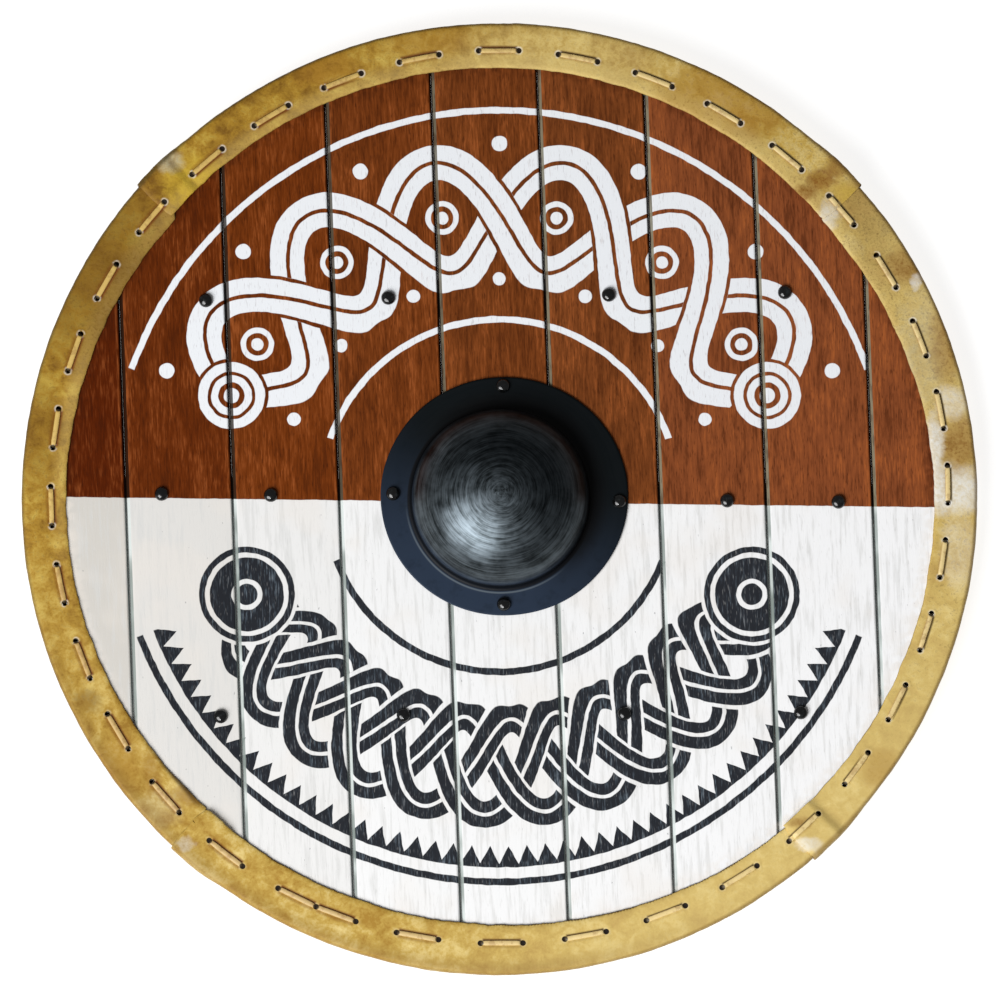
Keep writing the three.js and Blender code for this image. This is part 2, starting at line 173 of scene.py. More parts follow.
class ShieldSizes(bpy.types.PropertyGroup):
    """Sizes of the wood, the rawhide, the lace and the iron."""

    board_pitch: length("Board width", 89.1, "Width of a board, from groove to groove")
    board_lean: turn("Board lean", 2.1, "Turn of the boards from the upright, anticlockwise")
    seam: length("Seam", 0.3, "Gap between pieces that touch")
    left_bevel: length("Left bevel", 3.2, "Width of the bevel on a board's left edge")
    right_bevel: length("Right bevel", 2.2, "Width of the bevel on a board's right edge")
    groove_depth: length("Groove depth", 2.2, "Depth of the groove where the bevels meet")
    slot_half: length("Half slot", 0.7, "Half the width of the dark slot at the bottom of a groove")
    slot_depth: length("Slot depth", 3.1, "Depth of that slot below the face")
    hand_hole: length("Hand hole", 60.2, "Radius of the hand hole")
    rim_thickness: length("Rawhide thickness", 2.5, "Thickness of the rawhide")
    rim_fold: length("Fold radius", 3.2, "Outer radius of the fold over the wood's edge")
    rim_cover: length("Rim cover", 40, "How far the rawhide covers the wood, in front and behind")
    lap_length: length("Lap", 24, "How far an end of rawhide lies over its neighbour")
    lap_relief: length("Lap relief", 3, "How far an end stays lifted beyond its lap")
    lap_ramp: length("Lap ramp", 10, "Length over which a lifted end comes down to the wood")
    stitch_inset: length("Stitch inset", 25, "Distance of the lace holes from the edge")
    stitch_wave: length("Stitch wave", 1.2, "How far the row of holes wanders in and out")
    stitch_start: turn("First hole", 246.1, "Where the lace starts and ends")
    hole_radius: length("Hole radius", 2.15, "Radius of a lace hole")
    lace_width: length("Lace width", 3.5, "Width of the lace")
    lace_thickness: length("Lace thickness", 1.7, "Thickness of the lace")
    dome_radius: length("Dome radius", 74.4, "Radius of the boss's dome")
    neck_height: length("Neck height", 9, "Height of the upright wall below the dome")
    foot_flare: length("Foot flare", 3.5, "Radius of the fillet at the dome's foot")
    boss_wall: length("Boss wall", 2, "Thickness of the boss's sheet")
    head_height: length("Rivet head height", 4.6, "Height of a rivet's head")
    head_radius: length("Rivet head radius", 5.9, "Radius of a rivet's head")
    tail_radius: length("Rivet tail radius", 5.2, "Radius of a rivet's clenched tail")
    bar_width: length("Bar width", 32, "Width of the battens and of the grip's ends")
    grip_width: length("Grip width", 28, "Width of the grip in the hand")

    def mm(self, name):
        return getattr(self, name) / MM


class ShieldColours(bpy.types.PropertyGroup):
    """Colours of the finishes, and of the light and shade painted into them."""

    stain_west: colour("Left stain", (86, 30, 1), "Brown stain of the leftmost board")
    stain_inner: colour("Inner left stain", (112, 51, 11), "Brown stain between the left and the middle")
    # The middle and right stains also hold a painted sheen, lighter and bluer towards the right.
    stain_middle_and_sheen: colour("Middle stain", (117, 62, 26), "Brown stain of the middle boards")
    stain_east_and_sheen: colour("Right stain", (136, 73, 39), "Brown stain of the rightmost boards")
    stain_dark: colour("Dark stain", (56, 20, 4), "Brown stain in the darkest grain")
    # Light stain is also the colour of the painted highlight beside the grooves.
    stain_light_and_highlight: colour("Light stain", (178, 98, 48), "Brown stain in the lightest grain")
    wash: colour("White wash", (243, 243, 243), "White wash of the lower half")
    wash_west: colour("Left wash", (211, 207, 200), "Thinner wash of the leftmost board")
    wash_east: colour("Right wash", (252, 252, 253), "Thicker wash of the rightmost boards")
    wash_streak: colour("Wash streaks", (214, 214, 212), "Grain that shows through the white wash")
    wash_warm: colour("Warm wash", (236, 228, 219), "Wood that warms the thin white wash")
    wash_fleck: colour("Wash flecks", (120, 124, 126), "Dark specks in the white wash")
    wash_groove: colour("Washed bevel", (212, 220, 217), "Left bevels of the grooves in the white half")
    wash_rubbed: colour("Rubbed bevel", (138, 148, 143), "Those bevels where the wash has rubbed off")
    # The slot colours paint the dark joint, and painted shade on the right bevels that face away from the
    # light.
    wash_slot_and_shade: colour("Washed slot", (116, 124, 122), "Slots and right bevels in the white half")
    bevel_worn: colour("Worn bevel", (134, 129, 108), "Left bevels in the brown half, at the right")
    bevel_dark: colour("Dark bevel", (30, 20, 12), "Left bevels in the brown half, at the left")
    # Also painted shade on the right bevels in the brown half.
    slot_and_shade_dark: colour("Slot", (14, 10, 8), "Slots and right bevels in the brown half")
    paint_white: colour("White paint", (243, 246, 250), "Ornament on the brown half")
    paint_dark: colour("Blue-black paint", (13, 19, 29), "Ornament on the white half")
    paint_dark_worn: colour("Worn blue-black", (78, 92, 104), "Grain in the dark paint")
    bare_wood: colour("Bare wood", (190, 150, 104), "Bare wood of the back and the bars")
    bare_wood_dark: colour("Bare wood grain", (142, 100, 60), "Dark grain of the bare wood")
    hide: colour("Rawhide", (198, 165, 80), "Rawhide of the bottom and the right")
    # Light rawhide is also the colour of the painted highlight at the inner edge and the lower right.
    hide_light: colour("Light rawhide", (231, 206, 134), "Light patches there")
    hide_dark: colour("Dark rawhide", (170, 130, 50), "Dark patches there")
    ochre: colour("Ochre rawhide", (168, 127, 37), "Rawhide of the top and the left")
    ochre_light: colour("Light ochre", (200, 168, 70), "Light patches there")
    ochre_dark: colour("Dark ochre", (126, 88, 18), "Dark patches there")
    hide_brown: colour("Brown stains", (98, 62, 22), "Brown stains and flecks of the rawhide")
    hide_umber: colour("Orange-brown stains", (136, 86, 20), "Orange-brown stains of the rawhide")
    hide_olive: colour("Olive stains", (112, 78, 14), "Olive stains of the rawhide")
    hide_amber: colour("Amber stains", (166, 118, 34), "Amber stains of the rawhide")
    hide_yellow: colour("Yellow patches", (208, 174, 52), "Bright yellow patches of the rawhide")
    hide_grey: colour("Grey scuffs", (196, 188, 158), "Grey scuffs of the rawhide")
    hide_pale: colour("Pale scuffs", (238, 235, 226), "White scuffs and creases of the rawhide")
    # Fold colours: painted shade where the fold curves away, grimy as well at the top and the left.
    hide_fold_shade: colour("Rawhide fold", (126, 92, 38), "Fold at the bottom and the right")
    ochre_fold_grime_and_shade: colour("Ochre fold", (84, 68, 32), "Grimy fold at the top and the left")
    # Hem colour: the dark cut edge with a painted shadow, strongest at the bottom.
    hide_hem_and_shadow: colour("Rawhide hem", (66, 40, 18), "Dark cut edge of the rawhide")
    # Lace bed colours: painted shadow of the lace, with dirt.
    hide_shade: colour("Lace bed", (116, 62, 12), "Brown of the rawhide beside the lace, at the left")
    hide_shade_east: colour("Right lace bed", (108, 88, 46), "Brown beside the lace, at the right")
    # Painted shade and dirt in the lace holes.
    hole_shade_and_dirt: colour("Lace hole", (26, 16, 9), "Darkness in the lace holes")
    lace: colour("Lace", (234, 208, 144), "Cream of the lace at the bottom and the right")
    lace_ochre: colour("Ochre lace", (212, 178, 98), "Lace at the top and the left")
    # Lace shade: soiled lace, and painted shade on the lace at the lower left.
    lace_dirt_and_shade: colour("Lace shade", (146, 100, 48), "Soiled edges of the lace")
    # Brushed iron is also the colour of the painted glint on the flange's fold.
    iron_dome: colour("Brushed iron", (112, 122, 129), "Bright brush marks of the dome")
    iron_dome_dark: colour("Dark iron", (38, 43, 45), "Dark brush marks of the dome")
    # Flange colours: blue-black iron, lit at the lower left by painted light and dark at the upper right by
    # painted shade; the dark one also darkens the flange's mottling and paints shade on the dome.
    iron_flange: colour("Blued iron", (42, 54, 72), "Blued flange at the lower left")
    iron_flange_dark: colour("Dark flange", (8, 14, 17), "Blackened flange at the upper right")
    # Rivet black is also the painted shade round the dome's foot and in the dome's shadow on the flange.
    iron_rivet_and_shade: colour("Rivet iron", (9, 9, 10), "Black iron of the rivets")
    floor: colour("Floor", (150, 150, 150), "Softly lit white floor")


class Wire:
    """A shader socket in a Python expression, whose operators add Math nodes to its finish."""

    def __init__(self, finish, socket):
        self.finish = finish
        self.socket = socket

    def output(self, name):
        return Wire(self.finish, self.socket.node.outputs[name])

    def math(self, operation, *others):
        return self.finish.math(operation, self, *others)

    def __add__(self, other):
        return self.math("ADD", other)

    def __radd__(self, other):
        return self.math("ADD", other)

    def __sub__(self, other):
        return self.math("SUBTRACT", other)

    def __rsub__(self, other):
        return self.finish.math("SUBTRACT", other, self)

    def __mul__(self, other):
        return self.math("MULTIPLY", other)

    def __rmul__(self, other):
        return self.math("MULTIPLY", other)

    def __truediv__(self, other):
        return self.math("DIVIDE", other)

    def __rtruediv__(self, other):
        return self.finish.math("DIVIDE", other, self)

    def __neg__(self):
        return self.math("MULTIPLY", -1)

    def __abs__(self):
        return self.math("ABSOLUTE")

    def __lt__(self, other):
        return self.math("LESS_THAN", other)

    def __gt__(self, other):
        return self.math("GREATER_THAN", other)

    def floor(self):
        return self.math("FLOOR")

    def most(self, other):
        return self.math("MAXIMUM", other)

    def rise(self, low, high):
        """From 0 at low to 1 at high, smoothly."""
        settings = {"interpolation_type": "SMOOTHSTEP"}
        sockets = {"Value": self, "From Min": low, "From Max": high}
        return self.finish.node("ShaderNodeMapRange", settings, sockets)

    def fall(self, low, high):
        """From 1 at low to 0 at high, smoothly."""
        settings = {"interpolation_type": "SMOOTHSTEP"}
        sockets = {"Value": self, "From Min": low, "From Max": high, "To Min": 1.0, "To Max": 0.0}
        return self.finish.node("ShaderNodeMapRange", settings, sockets)

    def above(self, edge):
        """1 over the edge and 0 under it, as sharp as paint."""
        return self.rise(edge - PAINT_BLUR, edge + PAINT_BLUR)

    def below(self, edge):
        """1 under the edge and 0 over it, as sharp as paint."""
        return self.fall(edge - PAINT_BLUR, edge + PAINT_BLUR)


class Finish:
    """One material, made node by node; its places are in millimetres in the shield's frame."""

    def __init__(self, name, **constants):
        self.material = bpy.data.materials.new(name)
        self.material.use_nodes = True
        self.tree = self.material.node_tree
        self.shader = self.tree.nodes["Principled BSDF"]
        for socket, value in constants.items():
            self.shader.inputs[socket.replace("_", " ")].default_value = value
        where = self.node("ShaderNodeTexCoord").output("Object")
        self.place = self.vector("SCALE", where, Scale=1 / MM)
        self.x = self.node("ShaderNodeSeparateXYZ", {}, {0: self.place})
        self.y = self.x.output("Y")
        self.z = self.x.output("Z")

    def node(self, kind, settings=None, sockets=None):
        """Adds a node with its settings, then the values or links of its sockets; gives its first output."""
        made = self.tree.nodes.new(kind)
        for setting, value in (settings or {}).items():
            if setting == "stops":
                self.set_stops(made.color_ramp, value)
            else:
                setattr(made, setting, value)
        for socket, value in (sockets or {}).items():
            if isinstance(value, Wire):
                self.tree.links.new(value.socket, made.inputs[socket])
            else:
                made.inputs[socket].default_value = value
        return Wire(self, made.outputs[0])

    def set_stops(self, ramp, stops):
        while len(ramp.elements) < len(stops):
            ramp.elements.new(1.0)
        for element, (position, shade) in zip(ramp.elements, stops):
            element.position = position
            element.color = (*shade, 1.0)

    def math(self, operation, *values):
        return self.node("ShaderNodeMath", {"operation": operation}, dict(enumerate(values)))

    def vector(self, operation, *values, **named):
        sockets = {**dict(enumerate(values)), **named}
        return self.node("ShaderNodeVectorMath", {"operation": operation}, sockets)

    def joined(self, x, y, z):
        return self.node("ShaderNodeCombineXYZ", {}, {0: x, 1: y, 2: z})

    def hypot(self, x, y):
        return self.math("SQRT", x * x + y * y)

    def mix(self, factor, first, second):
        """Colour from the first, at factor 0, to the second, at factor 1."""
        rgba = [value if isinstance(value, Wire) else (*value, 1.0) for value in (first, second)]
        settings = {"data_type": "RGBA"}
        made = self.node("ShaderNodeMix", settings, {0: factor, 6: rgba[0], 7: rgba[1]})
        return Wire(self, made.socket.node.outputs[2])

    def ramp(self, value, stops):
        return self.node("ShaderNodeValToRGB", {"stops": stops}, {0: value})

    def noise(self, size, detail=2.0, roughness=0.5, place=None, distortion=0.0):
        """Noise from 0 to 1, its waves as long as size in millimetres, or as one unit of the given place."""
        sockets = {
            "Vector": place or self.place,
            "Scale": 1 / size,
            "Detail": detail,
            "Roughness": roughness,
            "Distortion": distortion,
        }
        return self.node("ShaderNodeTexNoise", {}, sockets)

    def spot(self, centre, reach, place=None):
        """Soft round spot, 1 at its centre and 0 beyond its reach along X and Y."""
        scale = (1 / reach[0], 1 / reach[1], 0)
        shift = (-centre[0] / reach[0], -centre[1] / reach[1], 0)
        scaled = self.vector("MULTIPLY_ADD", place or self.place, scale, shift)
        return self.vector("DOT_PRODUCT", scaled, scaled).output("Value").fall(0.0, 1.0)

    def show(self, base, roughness, metallic=None, relief=None, relief_height=0.1):
        """Links what varies to the shader; relief_height is in millimetres."""
        inputs = self.shader.inputs
        self.tree.links.new(base.socket, inputs["Base Color"])
        if isinstance(roughness, Wire):
            self.tree.links.new(roughness.socket, inputs["Roughness"])
        else:
            inputs["Roughness"].default_value = roughness
        if metallic is not None:
            self.tree.links.new(metallic.socket, inputs["Metallic"])
        if relief is not None:
            sockets = {"Strength": 1.0, "Distance": relief_height * MM, "Height": relief}
            bump = self.node("ShaderNodeBump", {}, sockets)
            self.tree.links.new(bump.socket, inputs["Normal"])
        return self.material


def node_box(node):
    """Middle and half-size of a node's box, in millimetres."""
    low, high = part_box(node)
    return (low + high) / 2 / MM, (high - low) / 2 / MM


# Row of lace holes

def hole_drift(even):
    """How far a hole lies from its even place round the rim, as the maker's hand drifts."""
    once = math.radians(2.11) * math.cos(even + math.radians(40.4))
    twice = math.radians(0.98) * math.sin(2 * even)
    return once - twice


def hole_angle(sizes, index):
    even = sizes.stitch_start - index * TURN / HOLE_COUNT
    return even + hole_drift(even)


def stitch_radius(sizes, angle):
    radius = rim_radius(sizes) - sizes.mm("stitch_inset")
    return radius + sizes.mm("stitch_wave") * math.sin(5 * angle)


def hole_place(sizes, index):
    angle = hole_angle(sizes, index)
    radius = stitch_radius(sizes, angle)
    return Vector((radius * math.cos(angle), radius * math.sin(angle), 0))


def hole_count_at(sizes, angle):
    """Holes passed on the way round to an angle, with the fraction of the run that the angle is in."""
    even = angle
    for _ in range(3):
        even = angle - hole_drift(even)
    return ((sizes.stitch_start - even) * HOLE_COUNT / TURN) % HOLE_COUNT


# Rawhide rim

def rim_radius(sizes):
    return WOOD_RADIUS + sizes.mm("seam") + sizes.mm("rim_thickness")


def strip_span(sizes, strip):
    """Angles at which a strip starts and ends, with the tuck of an end that lies under its neighbour."""
    tuck = sizes.mm("lap_length") / rim_radius(sizes)
    start, end = (math.radians(angle) for angle in strip["span"])
    over_start, over_end = strip["over"]
    return start - (0 if over_start else tuck), end + (0 if over_end else tuck)


def strip_lift(sizes, strip, angle, ramp=None):
    """How far a strip is lifted off the wood where it laps over a neighbour's end."""
    ramp = ramp or sizes.mm("lap_ramp")
    lifted = sizes.mm("lap_length") + sizes.mm("lap_relief") + ramp
    highest = 0.0
    for side, over in zip(strip["span"], strip["over"]):
        if over:
            distance = abs(angle - math.radians(side)) * rim_radius(sizes)
            highest = max(highest, smooth((lifted - distance) / ramp))
    return highest * (sizes.mm("rim_thickness") + sizes.mm("seam"))


def rim_lift(sizes, angle):
    """Highest lift of any strip at an angle."""
    highest = 0.0
    for strip in RIM_STRIPS:
        start, end = strip_span(sizes, strip)
        along = angle + math.ceil((start - angle) / TURN) * TURN
        if along <= end:
            highest = max(highest, strip_lift(sizes, strip, along))
    return highest


def rim_relief(sizes, angle, radius, front):
    """How far the rawhide stands off its even thickness: puckers, hole rings, channels and waves."""
    x = radius * math.cos(angle)
    y = radius * math.sin(angle)
    side = 0 if front else 900
    waves = 0.34 * ripple(34, x, y, side) + 0.16 * ripple(9, x, y, side) + 0.06 * ripple(3.5, x, y, side)
    passed = hole_count_at(sizes, angle)
    nearest = round(passed)
    pitch = TURN * radius / HOLE_COUNT
    inward = radius - stitch_radius(sizes, angle)
    distance = math.hypot((passed - nearest) * pitch, inward)
    ring = 0.34 * math.exp(-(((distance - 3.5) / 0.95) ** 2))
    pucker = -0.45 * math.exp(-((distance / 6.5) ** 2))
    laced = (math.floor(passed) % 2 == 0) == front
    end_fade = smooth((abs(passed - nearest) * pitch - 1.0) / 3.0)
    channel = -0.42 * math.exp(-((inward / 2.5) ** 2)) * end_fade if laced else 0.0
    edge_fade = smooth((rim_radius(sizes) - 2 - radius) / 6)
    return (waves + ring + pucker + channel) * edge_fade


def rim_surface(sizes, angle, radius, front):
    """Height of the rawhide's outer face, in front or behind, with any lap."""
    lift = rim_lift(sizes, angle)
    relief = rim_relief(sizes, angle, radius, front)
    return RIM_FRONT + lift + relief if front else RIM_BACK - lift - relief


def strip_stations(sizes, strip):
    """Angles of a strip's sections, close together near the lace holes."""
    start, end = strip_span(sizes, strip)
    radius = stitch_radius(sizes, 0)
    marks = [start, end]
    for index in range(HOLE_COUNT):
        angle = hole_angle(sizes, index)
        angle += math.ceil((start - angle) / TURN) * TURN
        marks += [angle + offset / radius for offset in range(-5, 6)]
    marks = sorted(mark for mark in marks if start <= mark <= end)
    stations = [marks[0]]
    for mark in marks[1:]:
        if (mark - stations[-1]) * radius > 0.4:
            stations += even_steps(stations[-1], mark, 2.8 / radius)[1:]
    return stations


def strip_section(sizes, strip, angle):
    """Closed section of a strip at an angle, as places (radius, height) from the front's inner edge."""
    first, last = (math.radians(side) for side in strip["span"])
    share = (angle - first) / (last - first)
    stray = lerp(*strip["stray"], share) + strip["bow"] * math.sin(math.pi * share)
    outer = rim_radius(sizes)
    thickness = sizes.mm("rim_thickness")
    fold = sizes.mm("rim_fold")
    lift = strip_lift(sizes, strip, angle)
    travel = angle * outer
    fray = 0.8 * ripple(15, travel, 7) + 0.45 * ripple(4.2, travel, 3)
    even_edge = outer - sizes.mm("rim_cover")
    front_edge = even_edge - stray + fray
    tucked = smooth(max(first - angle, angle - last) * outer / 7 + 0.3)
    front_edge = lerp(front_edge, max(front_edge, even_edge + 3.5), tucked)
    back_edge = even_edge + 1.1 * ripple(22, travel, 50) + 0.4 * ripple(4.2, travel, 60)
    floor = RIM_FRONT - thickness + lift
    ceiling = RIM_BACK + thickness - lift
    start, end = strip_span(sizes, strip)
    skive = 1 - 0.45 * math.exp(-min(angle - start, end - angle) * outer / 2.2)
    sheet = thickness * skive
    stitch = stitch_radius(sizes, angle)
    wide = outer + 0.45 * ripple(30, travel, 11) + 0.2 * ripple(7, travel, 13) - 0.75
    wide += strip_lift(sizes, strip, angle, 36) * 0.75

    def face(edge, front):
        """Places over a face, from its hem at the edge to the fold."""
        radii = [edge + offset for offset in (0.25, 0.9, 2.2)]
        radii += [lerp(edge + 3.6, stitch - 5, index / 4) for index in range(4)]
        radii += [stitch + lerp(-5, 5, index / 9) for index in range(9)]
        radii += [lerp(stitch + 5, outer - fold - 0.6, index / 5) for index in range(6)]
        places = []
        for radius in radii:
            hem = 0.5 * sheet * math.exp(-(radius - edge) / 1.2)
            height = sheet - hem + rim_relief(sizes, angle, radius, front)
            places.append((radius, floor + height if front else ceiling - height))
        return places

    corners = [math.radians(step) for step in (70, 48, 25, 5)]
    rounding = fold + 0.25 * ripple(5.5, travel, 21)
    middle = (BOARD_FRONT + BOARD_BACK) / 2
    bulge = 0.3 + 0.3 * ripple(18, travel, 31)
    outward = [(front_edge + 0.12, floor + 0.35 * sheet)] + face(front_edge, True)
    for corner in corners:
        height = floor + sheet - fold + rounding * math.sin(corner)
        outward.append((wide - fold + rounding * math.cos(corner), height))
    outward += [(wide + bulge * 0.7, middle + 2.6), (wide + bulge, middle)]
    outward.append((wide + bulge * 0.7, middle - 2.6))
    for corner in reversed(corners):
        height = ceiling - sheet + fold - rounding * math.sin(corner)
        outward.append((wide - fold + rounding * math.cos(corner), height))
    outward += reversed(face(back_edge, False))
    outward.append((back_edge + 0.12, ceiling - 0.35 * sheet))
    inside = WOOD_RADIUS + sizes.mm("seam") + 0.1 + lift * 0.8
    inward = [(radius, ceiling) for radius in even_steps(back_edge + 0.3, inside, 8)]
    inward += [(radius, floor) for radius in even_steps(inside, front_edge + 0.3, 8)]
    return outward, inward


# Meshes

def add_piece(name, points, faces):
    """Object of a mesh whose points are in millimetres."""
    mesh = bpy.data.meshes.new(name)
    mesh.from_pydata([Vector(point) * MM for point in points], [], faces)
    mesh.validate()
    mesh.update()
    piece = bpy.data.objects.new(name, mesh)
    bpy.context.scene.collection.objects.link(piece)
    return piece


def ring_faces(ring_count, ring_size, closed=False):
    """Quads between rings of equal size, and back to the first ring where the row is closed."""
    faces = []
    for ring in range(ring_count if closed else ring_count - 1):
        here = ring * ring_size
        there = (ring + 1) % ring_count * ring_size
        for corner in range(ring_size):
            beside = (corner + 1) % ring_size
            faces.append((here + corner, here + beside, there + beside, there + corner))
    return faces


def skin_faces(ring_count, ring_size):
    """Quads between rings of equal size, and the two end caps."""
    faces = ring_faces(ring_count, ring_size)
    faces.append(tuple(reversed(range(ring_size))))
    faces.append(tuple(range((ring_count - 1) * ring_size, ring_count * ring_size)))
    return faces


def carve(piece, cutter):
    """Takes the cutter's solid out of the piece, and leaves the piece with its carved mesh."""
    cut = piece.modifiers.new("cut", "BOOLEAN")
    cut.operation = "DIFFERENCE"
    cut.solver = "MANIFOLD"
    cut.object = cutter
    bpy.context.view_layer.update()
    carved = bpy.data.meshes.new_from_object(piece.evaluated_get(bpy.context.evaluated_depsgraph_get()))
    piece.modifiers.remove(cut)
    if not carved.polygons:
        raise RuntimeError(f"{piece.name}: nothing is left of it after the cut")
    piece.data = carved


def drop(cutter):
    bpy.data.objects.remove(cutter)


def dress(piece, material, node, crease=38):
    """Smooths the piece up to a crease angle in degrees, sets its finish and body, and hides the frame's part
    for its node.
    """
    mesh = piece.data
    mesh.materials.clear()
    mesh.materials.append(material)
    mesh.shade_smooth()
    mesh.set_sharp_from_angle(angle=math.radians(crease))
    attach(piece, "root")
    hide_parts(node)


def prism(name, places, low, high, sides):
    """Upright prisms in one mesh; a place gives x, y, turn and the half-sizes along and across it."""
    points = []
    faces = []
    for x, y, heading, along, across in places:
        first = len(points)
        for level in (low, high):
            for side in range(sides):
                angle = TURN * side / sides
                forward = along * math.cos(angle)
                sideways = across * math.sin(angle)
                points.append((
                    x + forward * math.cos(heading) - sideways * math.sin(heading),
                    y + forward * math.sin(heading) + sideways * math.cos(heading),
                    level,
                ))
        faces += [tuple(first + corner for corner in face) for face in skin_faces(2, sides)]
    return add_piece(name, points, faces)


def lace_hole_cutter(sizes, low, high):
    """All lace holes, longer than wide, and the first one longer still for the lace's two ends."""
    places = []
    for index in range(HOLE_COUNT):
        spot = hole_place(sizes, index)
        heading = hole_angle(sizes, index) + math.pi / 2
        reach = sizes.mm("hole_radius") * (1.0 + 0.06 * ripple(1.3, index, 4))
        along = reach + (0.9 if index == 0 else 0.25)
        places.append((spot.x, spot.y, heading, along, reach))
    return prism("lace_hole_cutter", places, low, high, 14)


# Boards

def edge_drop(sizes, distance, bevel, along):
    """How far the face drops at a distance from a board's edge: the slot, then the bevel's slope."""
    if distance < sizes.mm("slot_half"):
        return sizes.mm("slot_depth")
    width = bevel * (1 + 0.22 * ripple(46, along, bevel) + 0.1 * ripple(9, along, bevel))
    return sizes.mm("groove_depth") * clamp(1 - distance / width) ** 1.2


def board_columns(sizes, left, right, has_left, has_right):
    """Places across a board, close together over the bevels."""
    slot = sizes.mm("slot_half")
    steps = [0.0, slot - 0.03, slot + 0.03, 1.3, 1.9, 2.5, 3.1, 3.8, 5.0]
    near = [left + step for step in (steps if has_left else [0.0, 2.0])]
    far = [right - step for step in reversed(steps if has_right else [0.0, 2.0])]
    return near + even_steps(near[-1], far[0], 5.0)[1:-1] + far


def board(sizes, index, part):
    """One board, or the upper or lower part of the middle one, as a closed block."""
    pitch = sizes.mm("board_pitch")
    seam = sizes.mm("seam")
    edge = WOOD_RADIUS * 0.9996
    left = max((index - BOARD_COUNT / 2) * pitch + seam / 2, -edge)
    right = min((index + 1 - BOARD_COUNT / 2) * pitch - seam / 2, edge)
    has_left = index > 0
    has_right = index < BOARD_COUNT - 1
    columns = board_columns(sizes, left, right, has_left, has_right)
    low_end = 0.0 if part == "upper" else -1.0
    high_end = 0.0 if part == "lower" else 1.0
    shares = even_steps(low_end, high_end, 5.2 / WOOD_RADIUS)
    lean = Matrix.Rotation(sizes.board_lean, 3, "Z")
    cup = 0.16 * math.sin(index * 2.3 + 0.7)
    fronts = []
    backs = []
    for across in columns:
        half_chord = math.sqrt(max(WOOD_RADIUS ** 2 - across ** 2, 0))
        for share in shares:
            along = share * half_chord
            middle = (across - (left + right) / 2) / (right - left) * 2
            height = BOARD_FRONT - 0.12 + cup * (0.5 - middle * middle)
            height += 0.1 * ripple(60, across, along * 0.2, index)
            height += 0.035 * ripple(3.2, across, along * 0.03, index)
            back = BOARD_BACK + 0.05 + 0.05 * ripple(25, across, along * 0.2, index + 40)
            if has_left:
                height -= edge_drop(sizes, across - left, sizes.mm("left_bevel"), along + index * 300)
                back += 0.7 * clamp(1 - (across - left) / 1.2)
            if has_right:
                height -= edge_drop(sizes, right - across, sizes.mm("right_bevel"), along + index * 500)
                back += 0.7 * clamp(1 - (right - across) / 1.2)
            fronts.append(lean @ Vector((across, along, height)))
            closed = seam / 2 - 0.02
            reach = across - closed * (has_left and across == left) + closed * (has_right and across == right)
            backs.append(lean @ Vector((reach, along, back)))
    rows = len(shares)
    count = len(fronts)
    faces = []
    for column in range(len(columns) - 1):
        for row in range(rows - 1):
            here = column * rows + row
            face = (here, here + rows, here + rows + 1, here + 1)
            faces.append(face)
            faces.append(tuple(count + corner for corner in reversed(face)))
    last = (len(columns) - 1) * rows
    outline = [column * rows for column in range(len(columns))]
    outline += [last + row for row in range(1, rows)]
    outline += [column * rows + rows - 1 for column in reversed(range(len(columns) - 1))]
    outline += [row for row in reversed(range(1, rows - 1))]
    for here, beside in zip(outline, outline[1:] + outline[:1]):
        faces.append((here, here + count, beside + count, beside))
    name = f"board_{index + 1}" + (f"_{part}" if part else "")
    return add_piece(name, fronts + backs, faces)


# Finishes

def plait(finish, radius, angle, ring, strands, turns, swing, half_width, gap, line):
    """Painted strands that weave about a ring; gives the paint's mask and the mask of its middle lines."""
    distances = []
    heights = []
    for strand in range(strands):
        phase = angle * turns + TURN * strand / strands
        side = finish.math("SINE", phase)
        slope = finish.math("COSINE", phase) * (swing * turns) / radius
        distance = abs(radius - ring - side * swing) / finish.math("SQRT", slope * slope + 1)
        distances.append(distance)
        heights.append(finish.math("COSINE", phase) if strands == 2 else finish.math("SINE", phase * 2))
    paint = None
    lines = None
    for strand, distance in enumerate(distances):
        seen = None
        for other, other_distance in enumerate(distances):
            if other == strand:
                continue
            hides = (heights[other] > heights[strand]) * other_distance.below(half_width + gap)
            seen = 1 - hides if seen is None else seen * (1 - hides)
        body = distance.below(half_width) * seen
        middle = distance.below(line) * seen
        paint = body if paint is None else paint.most(body)
        lines = middle if lines is None else lines.most(middle)
    return paint, lines


def painted_rings(distance, rings):
    """Painted rings, each from an inner to an outer distance."""
    paint = None
    for inner, outer in rings:
        band = distance.below(outer)
        if inner > 0:
            band = band * distance.above(inner)
        paint = band if paint is None else paint.most(band)
    return paint


def end_discs(finish, x, y, paint, ring, ends, clear, rings):
    """The paint with a ringed disc over each of its ends, and room kept clear round it."""
    for degrees in ends:
        centre = polar(ring, degrees)
        distance = finish.hypot(x - centre[0], y - centre[1])
        paint = (paint * (1 - distance.below(clear))).most(painted_rings(distance, rings))
    return paint


def polar(radius, degrees):
    return radius * math.cos(math.radians(degrees)), radius * math.sin(math.radians(degrees))


def repeated_roundels(finish, radius, angle, ring, start, step, rings):
    """Equal roundels round a ring, one in each step of angle from a start, in radians."""
    local = (angle - start) / step
    offset = (local - (local + 0.5).floor()) * step * ring
    return painted_rings(finish.hypot(offset, radius - ring), rings)


